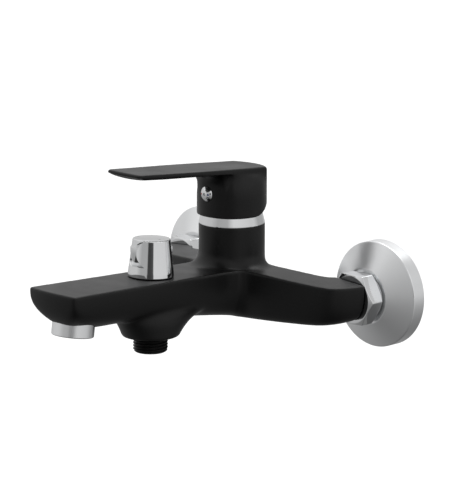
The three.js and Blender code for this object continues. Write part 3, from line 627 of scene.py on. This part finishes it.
def deck_and_column(rim):
    """The top face with the fillet that climbs the column, as points and faces."""
    reach = fillet_reach(rim)
    rings = column_rings(reach)
    points, kept = deck_plan(rim, rings[0], reach)
    base = len(points)
    for ring in rings:
        points += ring
    for k in range(len(rings) - 1):
        for i in range(DECK_SIDES):
            j = (i + 1) % DECK_SIDES
            a = base + k * DECK_SIDES
            kept.append((a + i, a + j, a + DECK_SIDES + j, a + DECK_SIDES + i))
    points.append((0, COLUMN_Y, COLUMN_TOP))
    last = base + (len(rings) - 1) * DECK_SIDES
    for i in range(DECK_SIDES):
        kept.append((last + i, last + (i + 1) % DECK_SIDES, len(points) - 1))
    return points, kept


def eased_tip(columns):
    """The sections with the spout's front corners rounded off below the rim, more with depth."""
    points = np.array(columns)
    drop = deck_height(points[..., 0], points[..., 1]) - points[..., 2]
    near_tip = 1 - smoothstep(points[..., 1], STERN_Y, STERN_Y + 16)
    share = np.clip((drop - 2) / 18, 0, 1) ** 3 * near_tip
    for _ in range(TIP_ROUNDS):
        spread = (np.roll(points, 1, 0) + 2 * points + np.roll(points, -1, 0)) / 4
        points = lerp(points, spread, share[..., None])
    return points.tolist()


def casting_hull():
    """The closed hull of the casting: its sections, its top face and the column."""
    columns = eased_tip(outline_columns())
    rows = len(columns[0])
    points = [p for column in columns for p in column]
    faces = []
    for i in range(len(columns)):
        j = (i + 1) % len(columns)
        for row in range(rows - 1):
            faces.append((i * rows + row, i * rows + row + 1, j * rows + row + 1, j * rows + row))
    deck, deck_faces = deck_and_column([column[0] for column in columns])
    shift = len(points)
    points += deck
    faces += [tuple(i + shift for i in face) for face in deck_faces]
    return mesh_object("body_casting_shell", points, faces)


def outlet_boss():
    """Foot of the shower outlet, flaring along the spout and more to the wall where it meets the hull."""
    # half width across, half length along, shift to the wall, height
    levels = [(15.6, 15.6, 0, -18.9), (16.8, 16.8, 0.1, -18.7), (17.5, 17.7, 0.3, -17.9),
              (17.7, 18.9, 0.6, -16.4), (17.9, 20.7, 1.2, -14.5), (18.3, 23.8, 2.3, -11.5),
              (18.4, 28.4, 4.4, -8.5), (17.6, 36.3, 9, -5.5), (15, 42, 11, -1), (12, 34, 9, 5)]
    steps, sides = 54, 96
    rings = []
    for k in range(steps + 1):
        across, along, shift, z = spline(levels, k / steps)
        rings.append([(across * math.cos(a), DIVERTER_Y + shift + along * math.sin(a), z)
                      for a in 2 * np.pi * np.arange(sides) / sides])
    return skin("boss", rings)


def boss_root(y, z):
    """1 where the outlet's boss runs into the hull."""
    along = 1 - smoothstep(np.abs(y - DIVERTER_Y), 30, 42)
    return along * smoothstep(z, -16.5, -13.5) * (1 - smoothstep(z, -1, 5))


def body_casting():
    """Spout, column and arms as one cast skin, bored for the cartridges and fittings."""
    body = melted(casting_hull(), CASTING_VOXEL, 5, outlet_boss())
    eased(body, 90, boss_root)
    tools = [
        moved(cylinder(CARTRIDGE_BORE_R, 7, COLUMN_TOP + 2), at(0, COLUMN_Y, 0)),
        moved(cylinder(DIVERTER_BORE_R, 3, 30), diverter_place()),
        moved(cylinder(OUTLET_BORE_R, -22, -9.5), at(0, DIVERTER_Y, 0)),
        moved(cylinder(AERATOR_BORE_R, -8, 11), aerator_place()),
    ]
    for x in (-INLET_X, INLET_X):
        tools.append(moved(cylinder(INLET_BORE_R, -42, -29), inlet_place(x)))
    combined(body, "DIFFERENCE", *tools)
    shaded(body, 38, weighted=False)
    return placed(body, SATIN_BLACK, "satin_black", BODY, "body_casting")


# ---------------------------------------------------------------- lever

BLADE_TIP_Y = -146.8
BLADE_HALF_WIDTH = 16.1
BLADE_RIM = 2.9            # thickness of the blade at its sides
BLADE_FILLET = 8.0
HUB_WALL_TOP = 56.0
HUB_FRONT_RIM = 46.4
HUB_REAR_RIM = 54.5
SCOOP_DEPTH = 1.2
LEVER_VOXEL = 0.42
LEVER_SIDE = [(14.8, -143.2), (15.5, -120), (16.1, -98), (16.1, -78), (15.6, -58), (14.9, -41.7)]


def lever_top(y):
    """Top face of the lever, rising to the tip and bending up a little near it."""
    return 76.2 + 0.076 * (-60 - y) + 0.00012 * max(0.0, -118 - y) ** 2


def lever_outline():
    """Plan outline: bowed tip, rounded corner, tapering side and the back of the hub, then its mirror."""
    bow_end = (5.5, BLADE_TIP_Y + 0.1)
    corner = (11.8, BLADE_TIP_Y + 0.35)
    right = [np.array([bow_end[0] * i / 5, BLADE_TIP_Y + 0.1 * (i / 5) ** 2]) for i in range(6)]
    right += [lerp(np.array(bow_end), np.array(corner), i / 5) for i in range(1, 5)]
    right += [bezier(corner, (14.7, BLADE_TIP_Y + 0.7), LEVER_SIDE[0], i / 12) for i in range(12)]
    right += [spline(LEVER_SIDE, i / 70) for i in range(70)]
    side_end = LEVER_SIDE[-1]
    start = math.atan2(side_end[1] - COLUMN_Y, side_end[0])
    for i in range(31):
        a = lerp(start, math.pi / 2, i / 30)
        right.append(COLUMN_AT + HUB_R * np.array([math.cos(a), math.sin(a)]))
    return right + [np.array([-p[0], p[1]]) for p in right[-2:0:-1]]


def blade_thickness(x, y):
    across = min(1.0, abs(x) / BLADE_HALF_WIDTH)
    middle = lerp(3.8, 4.8, float(smoothstep(y, BLADE_TIP_Y, BLADE_TIP_Y + 24)))
    return lerp(middle, BLADE_RIM, across ** 2)


def hub_rim(y):
    """Lower rim of the hub, cut away at the back so that the lever can be lifted."""
    cut = float(smoothstep(y, COLUMN_Y - 3, COLUMN_Y + HUB_R)) ** 1.4
    return lerp(HUB_FRONT_RIM, HUB_REAR_RIM, cut)


def lever_point(way, r, z):
    """A point at a distance and a height from the column's axis, along a unit plan vector."""
    return (way[0] * r, COLUMN_Y + way[1] * r, z)


def under_blade(way, r):
    x, y = way[0] * r, COLUMN_Y + way[1] * r
    return lever_top(y) - blade_thickness(x, y)


def lever_top_rings():
    """The top face and its rounded edge; each ring is a function of an outline point."""
    def face(share):
        return lambda p, r, way: lever_point(way, (r - 1.4) * share,
                                             lever_top(COLUMN_Y + way[1] * (r - 1.4) * share))

    def edge(inset, drop):
        return lambda p, r, way: lever_point(way, r - inset, lever_top(p[1]) - drop)

    shares = (0.02, 0.15, 0.3, 0.45, 0.6, 0.75, 0.88, 1)
    return [face(share) for share in shares] + [
        edge(inset, drop) for inset, drop in ((0.8, 0.18), (0.3, 0.6), (0, 1.2), (0, 1.7))]


def lever_under_rings():
    """The blade's underside, and the fillet that turns it down into the hub."""
    def under(share):
        def place(p, r, way):
            here = lerp(r, min(r, HUB_R + BLADE_FILLET), share)
            return lever_point(way, here, min(under_blade(way, here), lever_top(p[1]) - 1.8))
        return place

    def blend(turn):
        def place(p, r, way):
            span = min(BLADE_FILLET, max(0.0, r - HUB_R))
            here = min(r, HUB_R) + span * (1 - math.sin(math.pi / 2 * turn))
            fall = BLADE_FILLET * float(smoothstep(span, 0, BLADE_FILLET))
            fall *= 1 - math.cos(math.pi / 2 * turn)
            return lever_point(way, here, under_blade(way, min(r, here)) - 0.4 * turn - fall)
        return place

    return [under(share) for share in (0.06, 0.14, 0.24, 0.36, 0.5, 0.64, 0.78, 0.9, 1)] + [
        blend(turn) for turn in (0.12, 0.24, 0.36, 0.48, 0.6, 0.72, 0.84, 0.94, 1)]


def hub_wall_rings():
    """The hub's wall, with a shallow cove under the blade, down to its slanting rim."""
    def flank(share):
        def place(p, r, way):
            here = min(r, HUB_R)
            high = under_blade(way, here) - 0.4
            high -= BLADE_FILLET * float(smoothstep(r - HUB_R, 0, BLADE_FILLET))
            cove = SCOOP_DEPTH * float(smoothstep(p[1], -48, -70)) * share * (1 - share) ** 3 * 9.5
            cove *= 1 - float(smoothstep(r - HUB_R, 0, BLADE_FILLET))
            reach = lerp(here, HUB_R, 1 - (1 - share) ** 3)
            return lever_point(way, reach - cove, lerp(high, HUB_WALL_TOP, share))
        return place

    def wall(share):
        return lambda p, r, way: lever_point(
            way, HUB_R, lerp(HUB_WALL_TOP, hub_rim(COLUMN_Y + way[1] * HUB_R), share))

    return [flank(share) for share in (0.06, 0.13, 0.21, 0.3, 0.4, 0.5, 0.61, 0.73, 0.86)] + [
        wall(share) for share in (0, 0.33, 0.66, 1)]


def lever_shell():
    """Blade and hub as rings in polar form about the column's axis."""
    outline = lever_outline()
    rings = []
    for place in lever_top_rings() + lever_under_rings() + hub_wall_rings():
        ring = []
        for p in outline:
            offset = p - COLUMN_AT
            r = math.hypot(*offset)
            ring.append(place(p, r, offset / r))
        rings.append(ring)
    return skin("lever_shell", rings)


def lever_handle():
    """Lever with its hollow hub, the socket on the stem and the hole of the grub screw."""
    lever = melted(lever_shell(), LEVER_VOXEL, 4)
    column = at(0, COLUMN_Y, 0)
    cavity = moved(turned("tool", [(0, 38), (19.4, 38), (19.4, 54), (15.4, 60), (0, 60)], 1.0, 96,
                          axis_ends=True), column)
    socket = moved(cylinder(6.6, 52, 62), column)
    combined(lever, "DIFFERENCE", cavity)
    combined(lever, "UNION", socket)
    combined(lever, "DIFFERENCE",
             moved(box_tool(6.2, 6.2, 43.5, 63.5), column),
             moved(cylinder(2, 0, 30), cap_place(0)),
             moved(cylinder(4.85, 19.3, 30), cap_place(0)))
    shaded(lever, 38, weighted=False)
    return placed(lever, SATIN_BLACK, "satin_black", "lever", "lever_handle")


def index_cap():
    """Chrome cap over the grub screw, with a red and a blue enamel mark beside its dimple."""
    place = cap_place(HUB_R - 0.4)
    cap = turned("index_cap_dome", [
        (0, -1.3), (4.5, -1.3), (4.7, -1), (4.7, 0.3, 0.2), (4.45, 0.75, 0.3), (3.6, 1.5, 1.2),
        (2.3, 2.15, 1.6), (0.9, 2.45, 0.1), (0.7, 1.3, 0.1), (0, 1.2)], 0.15, 96, axis_ends=True)
    placed(shaded(moved(cap, place)), CHROME, "chrome", "lever", "index_cap")
    for name, x, material in (("hot_mark", -2.75, HOT_ENAMEL), ("cold_mark", 2.75, COLD_ENAMEL)):
        mark = turned(name, [(0, -0.3), (0.62, -0.3), (0.62, 0.1, 0.1), (0, 0.16)], 0.08, 32,
                      axis_ends=True)
        lean = Matrix.Rotation(math.radians(22 if x > 0 else -22), 4, "Y")
        placed(shaded(moved(mark, place @ at(x, 0, 1.9) @ lean)), material, "chrome", "lever")


# ---------------------------------------------------------------- column trim


def trim_ring():
    """Chrome cone between the column and the hub."""
    ring = turned("trim_collar", [
        (18, 40.6), (20.25, 40.6, 0.15), (20.25, 41.1, 0.2), (18.9, 46.4, 0.5), (17.4, 47.7, 0.6),
        (15.9, 48.2, 0.2), (15.9, 47), (16.9, 45.6), (18, 42.6)], 0.2, 192)
    placed(shaded(moved(ring, at(0, COLUMN_Y, 0))), CHROME, "chrome", BODY, "trim_ring")


# ---------------------------------------------------------------- diverter

KNOB_SIDES = 512
PAD_LOW = 24.5
PAD_WAIST = 32.0
PAD_REACH_LOW = 29.0       # bearing where a pad ends at its foot, in degrees from the front
PAD_REACH_WAIST = 0.7      # and at its waist
PAD_FAR_END = -47.0        # bearing where a pad begins
PAD_CREST = 34.0
PAD_BARREL_R = 24.0
KNOB_SCREW_Z = 31.0
KNOB_FLANK = [(13.65, 17.6), (13.82, 17.7), (13.9, 17.95), (13.75, 20.1), (12.6, 29.5), (11.42, 39.6),
              (11.3, 39.95), (11.0, 40.18), (10.4, 40.25)]


def pad_radius(bearing, z):
    """Barrel-shaped wall of a finger pad: flush with the cone at the far end, sinking to the ridge."""
    return 12.6 - 1.6 * smoothstep(bearing, -26, 27) - (z - PAD_CREST) ** 2 / (2 * PAD_BARREL_R)


def knob_rings():
    """Tapered knob with two upright finger pads, each behind a curved ridge."""
    angles = 2 * np.pi * np.arange(KNOB_SIDES) / KNOB_SIDES
    bearing = np.degrees(angles) + 90
    bearing = (bearing + 90) % 180 - 90
    heights = np.array([z for _, z in KNOB_FLANK])
    radii = np.array([r for r, _ in KNOB_FLANK])
    levels = np.concatenate([np.linspace(17.6, 18.6, 11), np.linspace(18.8, 24, 20),
                             np.linspace(24.1, 25, 12), np.linspace(25.1, 39.5, 100),
                             np.linspace(39.6, 40.25, 14)])
    bow = (PAD_REACH_LOW - PAD_REACH_WAIST) / (PAD_WAIST - PAD_LOW) ** 2
    top = lerp(35.6, 39.5, smoothstep(bearing, -25, 24))
    foot = lerp(26.0, PAD_LOW, smoothstep(bearing, PAD_FAR_END, -12))
    rings = []
    for z in levels:
        cone = np.full(KNOB_SIDES, np.interp(z, heights, radii))
        ridge = PAD_REACH_WAIST + bow * (z - PAD_WAIST) ** 2 * (1 if z < PAD_WAIST else 0.79)
        inside = (1 - smoothstep(bearing, ridge - 2.2, ridge + 0.4)) * smoothstep(
            bearing, PAD_FAR_END - 1.5, PAD_FAR_END + 1.5)
        inside *= smoothstep(z, foot - 0.25, foot + 0.15) * (1 - smoothstep(z, top - 0.5, top))
        rings.append(round_ring(lerp(cone, pad_radius(bearing, z), inside), z, KNOB_SIDES))
    for r, z in ((8, 40.36), (5, 40.44), (2, 40.5)):
        rings.append(round_ring(r, z, KNOB_SIDES))
    return rings


def diverter():
    """Hollow knob with its grub screw's hole and two small dimples, and the collar under it, coloured
    satin black as painted shade for the shadowed gap below the knob.
    """
    place = diverter_place()
    knob = skin("diverter_grip", knob_rings())
    combined(knob, "DIFFERENCE", cylinder(12.3, 16.9, 20), cylinder(8.2, 19, 26.8),
             cylinder(4.3, 26, 35.6))
    screw_hole = moved(cylinder(1.95, 0, 14, 48), at(0, 0, KNOB_SCREW_Z) @ leaned(-math.pi / 2))
    marks = [moved(cylinder(0.55, 40.1, 41, 24), at(x, y, 0)) for x, y in ((-8.6, -2.8), (6.6, 0.4))]
    combined(knob, "DIFFERENCE", screw_hole, *marks)
    placed(shaded(moved(knob, place), 50), CHROME, "chrome", "diverter", "diverter_knob")
    collar = turned("diverter_collar", [
        (9.1, 4.6), (10.2, 4.6), (10.2, 17.7), (12, 17.7, 0.2), (12, 19.4, 0.4), (7.6, 19.4),
        (7.6, 25), (4.3, 25), (4.3, 14.3), (9.1, 14.3)], 0.15, 96)
    # The collar is a real part, but its satin black is painted shade: it stands in for the dark, shadowed
    # gap under the knob.
    placed(shaded(moved(collar, place)), SATIN_BLACK, "satin_black", BODY, "diverter_bonnet")


# ---------------------------------------------------------------- outlets


THREAD_PITCH = 1.81        # of G1/2


def thread_rings(crest, depth, low, high, fade, sides):
    """Rings of a right-hand thread between two heights, fading out at both ends."""
    angles = np.arange(sides) / sides
    rings = []
    for z in np.arange(low, high + 1e-6, THREAD_PITCH / 16):
        phase = (z / THREAD_PITCH - angles) % 1.0
        tooth = np.clip(np.abs(phase - 0.5) * 2.6 - 0.15, 0, 1)
        share = min(1.0, (z - low) / fade, (high - z) / fade)
        rings.append(round_ring(crest - depth * lerp(0.55, tooth, max(0.0, share)), z, sides))
    return rings


def shower_nipple():
    """Threaded nipple for the shower hose."""
    sides = 128
    low, high = -28.7, -19.2
    rings = [round_ring(6.5, -11, sides), round_ring(6.5, low + 0.3, sides),
             round_ring(6.8, low, sides), round_ring(9.1, low, sides), round_ring(9.4, low + 0.2, sides)]
    rings += thread_rings(10.48, 1.16, low + 0.5, high - 0.1, 0.9, sides)
    rings += [round_ring(8.9, high, sides), round_ring(8.7, high, sides), round_ring(8.7, -11, sides)]
    nipple = skin("shower_outlet_thread", rings, loop=True)
    placed(shaded(moved(nipple, at(0, DIVERTER_Y, 0)), 60), SATIN_BLACK, "satin_black", BODY,
           "shower_outlet_nipple")


def aerator():
    """Aerator ring under the spout's tip, with a plate of jets inside."""
    place = aerator_place()
    ring = turned("aerator_ring", [
        (9.8, -1.3, 0.3), (12.1, -1.3, 0.3), (12.6, -0.8, 0.3), (12.6, 10), (9.1, 10), (9.1, 1.6),
        (8.6, 1.6), (8.6, -0.3)], 0.2, 160)
    placed(shaded(moved(ring, place)), SOFT_CHROME, "chrome", BODY, "aerator_housing")
    grid = turned("aerator_jet_plate", [
        (0, 1.9), (1.4, 1.9), (1.6, 2.5), (2.4, 2.5), (2.6, 1.9), (3.4, 1.9), (3.6, 2.5), (6.4, 2.5),
        (6.6, 1.9), (7.4, 1.9), (7.6, 2.5), (8.2, 2.5), (8.4, 1.9), (8.8, 1.9), (8.8, 7), (0, 7)],
        0.12, 120, axis_ends=True)
    jets = []
    for count, radius, hole in ((6, 3.0, 0.5), (12, 5.0, 0.75), (18, 7.0, 0.45)):
        for i in range(count):
            a = 2 * math.pi * i / count
            jets.append(moved(cylinder(hole, 1, 8, 16), at(radius * math.cos(a), radius * math.sin(a), 0)))
    combined(grid, "DIFFERENCE", *jets)
    placed(shaded(moved(grid, place), 35), PLASTIC, "plastic", BODY, "aerator_insert")


# ---------------------------------------------------------------- inlets


def hex_nut(name):
    """Union nut with chamfered corners and a bore that narrows at its front lip."""
    sides = 360
    front, rear = -30.2, -19.2
    flat = 15.0
    corner = 2 * flat / math.sqrt(3)
    angles = 2 * np.pi * np.arange(sides) / sides
    sixth = math.pi / 3
    local = (angles % sixth) - sixth / 2
    hexagon = flat / np.cos(local)
    hexagon = soft_least(hexagon, np.full(sides, corner - 0.12), 0.16)
    rings = [round_ring(9.3, front + 2, sides), round_ring(9.3, front + 0.3, sides),
             round_ring(9.6, front, sides), round_ring(14.2, front, sides)]
    for z in np.concatenate([np.linspace(front, front + 2.4, 26), np.linspace(front + 3, rear - 3, 6),
                             np.linspace(rear - 2.4, rear, 26)]):
        inset = min(z - front, rear - z)
        cone = flat - 0.35 + inset * (corner + 0.2 - flat) / 1.3
        rings.append(round_ring(soft_least(hexagon, np.full(sides, cone), 0.12), float(z), sides))
    rings += [round_ring(14.0, rear, sides), round_ring(13.5, rear - 0.3, sides),
              round_ring(13.5, front + 2, sides)]
    return skin(name, rings, loop=True)


def s_union(name):
    """Eccentric union: the nut side in line with the inlet, the threaded wall side below it."""
    offset = at(0, 5, 0)
    nut_side = turned(name, [(0, -23.3), (12.3, -23.3), (13.1, -22.5), (13.1, -5), (0, -5)], 0.3, 96,
                      axis_ends=True)
    sides = 128
    rings = [round_ring(9.3, -9, sides)]
    rings += thread_rings(10.4, 1.1, -8.9, 19.2, 1.5, sides)
    rings += [round_ring(9.2, 19.6, sides), round_ring(8.8, 20, sides)]
    wall_side = moved(skin("tool", rings), offset)
    combined(nut_side, "UNION", wall_side)
    return combined(nut_side, "DIFFERENCE", cylinder(7.5, -25, -7),
                    moved(cylinder(6.4, -9, 22), offset))


def escutcheon(name):
    """Bell-shaped wall rose, hollow at the back."""
    return turned(name, [
        (32.5, 0, 0.2), (32.5, -8.8, 0.8), (31.9, -9.2, 0.5), (17.4, -17.3, 0.4),
        (16.9, -17.5, 0.3), (13.7, -17.5, 0.3), (13.7, -16.2), (16.4, -16.2, 0.5),
        (30.8, -8.1, 0.6), (31.2, -7.6, 0.4), (31.2, 0, 0.2)], 0.2, 224)


def inlets():
    """Union nut, eccentric union and wall rose of each inlet."""
    for side, x in (("left", -INLET_X), ("right", INLET_X)):
        place = inlet_place(x)
        placed(shaded(moved(hex_nut(side + "_hex_nut"), place), 50), CHROME, "chrome", BODY,
               side + "_union_nut")
        placed(shaded(moved(s_union(side + "_eccentric_union"), place), 50), CHROME, "chrome", BODY,
               side + "_s_union")
        placed(shaded(moved(escutcheon(side + "_wall_rose"), place)), SOFT_CHROME, "chrome", BODY,
               side + "_escutcheon")


# ---------------------------------------------------------------- carried-over nodes


def finish_cad_nodes():
    """Every CAD node that stays gets the material of its slot."""
    for part in frame["record"]["subparts"]:
        node = frame["nodes"][part["node"]]
        node.data.materials.clear()
        node.data.materials.append(SLOT_MATERIAL[part["material_slot"]])


# ---------------------------------------------------------------- stage, light and camera

CAMERA_AZIMUTH = math.radians(45.94)
CAMERA_ELEVATION = math.radians(12.24)
CAMERA_DISTANCE = 1.7509
CAMERA_TARGET = Vector((-0.0004, -0.0624, 0.02243))
LENS = 204.6
SENSOR = 36.0
FLOOR_Z = -2.2
FLOOR_HALF = 40000.0


def towards(azimuth, elevation):
    """Unit vector from the faucet outwards; azimuth 0 is straight out of the wall."""
    return Vector((math.sin(azimuth) * math.cos(elevation),
                   -math.cos(azimuth) * math.cos(elevation), math.sin(elevation)))


def add_camera():
    """The camera, aimed at the middle of the faucet from the front right and a little above."""
    camera = bpy.data.objects.new("camera", bpy.data.cameras.new("camera"))
    bpy.context.scene.collection.objects.link(camera)
    back = towards(CAMERA_AZIMUTH, CAMERA_ELEVATION)
    camera.location = CAMERA_TARGET + back * CAMERA_DISTANCE
    camera.rotation_mode = "QUATERNION"
    camera.rotation_quaternion = (-back).to_track_quat("-Z", "Y")
    camera.data.sensor_width = SENSOR
    camera.data.lens = LENS
    bpy.context.scene.camera = camera


def add_floor():
    """A pale floor, left out of the mirrors so that they show the studio alone."""
    half = FLOOR_HALF
    floor = mesh_object("floor", [(-half, -half, 0), (half, -half, 0), (half, half, 0), (-half, half, 0)],
                        [(0, 1, 2, 3)])
    floor.location.z = FLOOR_Z
    material, _, shader = new_material("floor", (0.88, 0.88, 0.88), 0.9)
    shader.inputs["Specular IOR Level"].default_value = 0.0
    shader.inputs["Emission Color"].default_value = (1, 1, 1, 1)
    shader.inputs["Emission Strength"].default_value = 0.5
    floor.visible_glossy = False
    floor.visible_diffuse = False
    floor.data.materials.append(material)


def add_area_light(name, azimuth, elevation, distance, size, power):
    """A rectangular light aimed at the faucet; angles in degrees, lengths in metres, power in watts."""
    light = bpy.data.objects.new(name, bpy.data.lights.new(name, "AREA"))
    bpy.context.scene.collection.objects.link(light)
    light.data.shape = "RECTANGLE"
    light.data.size, light.data.size_y = size
    light.data.energy = power
    out = towards(math.radians(azimuth), math.radians(elevation))
    light.location = out * distance
    light.rotation_mode = "QUATERNION"
    light.rotation_quaternion = (-out).to_track_quat("-Z", "Y")


def ramp_node(tree, value, stops):
    """A grey ramp through (position, level) stops."""
    node = tree.nodes.new("ShaderNodeValToRGB")
    elements = node.color_ramp.elements
    while len(elements) < len(stops):
        elements.new(0.5)
    for element, (position, level) in zip(elements, stops):
        element.position = position
        element.color = (level, level, level, 1)
    tree.links.new(value, node.inputs["Fac"])
    return node.outputs["Color"]


def direction_share(tree, direction, vector):
    """How far a world direction leans to a given one, from 0 to 1."""
    dot = tree.nodes.new("ShaderNodeVectorMath")
    dot.operation = "DOT_PRODUCT"
    dot.inputs[1].default_value = vector
    tree.links.new(direction, dot.inputs[0])
    half = tree.nodes.new("ShaderNodeMath")
    half.operation = "MULTIPLY_ADD"
    half.inputs[1].default_value = 0.5
    half.inputs[2].default_value = 0.5
    tree.links.new(dot.outputs["Value"], half.inputs[0])
    return half.outputs["Value"]


def steepened(tree, direction, factor):
    """The world direction with its slope magnified, so that a round patch becomes a low one."""
    scaled = tree.nodes.new("ShaderNodeVectorMath")
    scaled.operation = "MULTIPLY"
    scaled.inputs[1].default_value = (1, 1, factor)
    tree.links.new(direction, scaled.inputs[0])
    unit = tree.nodes.new("ShaderNodeVectorMath")
    unit.operation = "NORMALIZE"
    tree.links.new(scaled.outputs["Vector"], unit.inputs[0])
    return unit.outputs["Vector"]


def multiplied(tree, a, b):
    node = tree.nodes.new("ShaderNodeVectorMath")
    node.operation = "MULTIPLY"
    tree.links.new(a, node.inputs[0])
    tree.links.new(b, node.inputs[1])
    return node.outputs["Vector"]


# Light of the studio as (share, level) stops: from straight below to straight above,
# from the side opposite the photographer to the photographer, and from -X to +X.
BY_HEIGHT = [(0.0, 0.15), (0.16, 0.31), (0.36, 0.42), (0.46, 0.66), (0.54, 0.68), (0.6, 0.62),
             (0.66, 0.76), (0.76, 0.88), (1.0, 0.92)]
BY_PHOTOGRAPHER = [(0.0, 1.0), (0.975, 1.0), (0.983, 0.12), (1.0, 0.08)]
BY_SIDE = [(0.0, 0.77), (0.25, 0.77), (0.45, 0.52), (0.74, 0.52), (0.88, 0.88), (1.0, 0.88)]
PHOTOGRAPHER_AZIMUTH = CAMERA_AZIMUTH - math.radians(2)
PHOTOGRAPHER_FLATNESS = 1.7
STUDIO_STRENGTH = 1.3


def add_world():
    """A soft white studio: dim below, and dark where the photographer stands."""
    world = bpy.data.worlds.new("studio")
    bpy.context.scene.world = world
    world.use_nodes = True
    tree = world.node_tree
    background = tree.nodes["Background"]
    direction = tree.nodes.new("ShaderNodeTexCoord").outputs["Generated"]
    height = direction_share(tree, direction, (0, 0, 1))
    by_height = ramp_node(tree, height, BY_HEIGHT)
    low = steepened(tree, direction, PHOTOGRAPHER_FLATNESS)
    photographer = direction_share(tree, low, towards(PHOTOGRAPHER_AZIMUTH, 0))
    by_photographer = ramp_node(tree, photographer, BY_PHOTOGRAPHER)
    sideways = direction_share(tree, direction, (1, 0, 0))
    by_side = ramp_node(tree, sideways, BY_SIDE)
    light = multiplied(tree, multiplied(tree, by_height, by_photographer), by_side)
    tree.links.new(light, background.inputs["Color"])
    background.inputs["Strength"].default_value = STUDIO_STRENGTH


def build():
    """Every piece in turn, then the stage."""
    finish_cad_nodes()
    body_casting()
    lever_handle()
    index_cap()
    trim_ring()
    diverter()
    shower_nipple()
    aerator()
    inlets()
    add_camera()
    add_floor()
    add_area_light("overhead", 200, 70, 1.6, (1.4, 1.0), 12)
    add_world()
    bpy.context.scene.view_settings.view_transform = "Standard"


build()
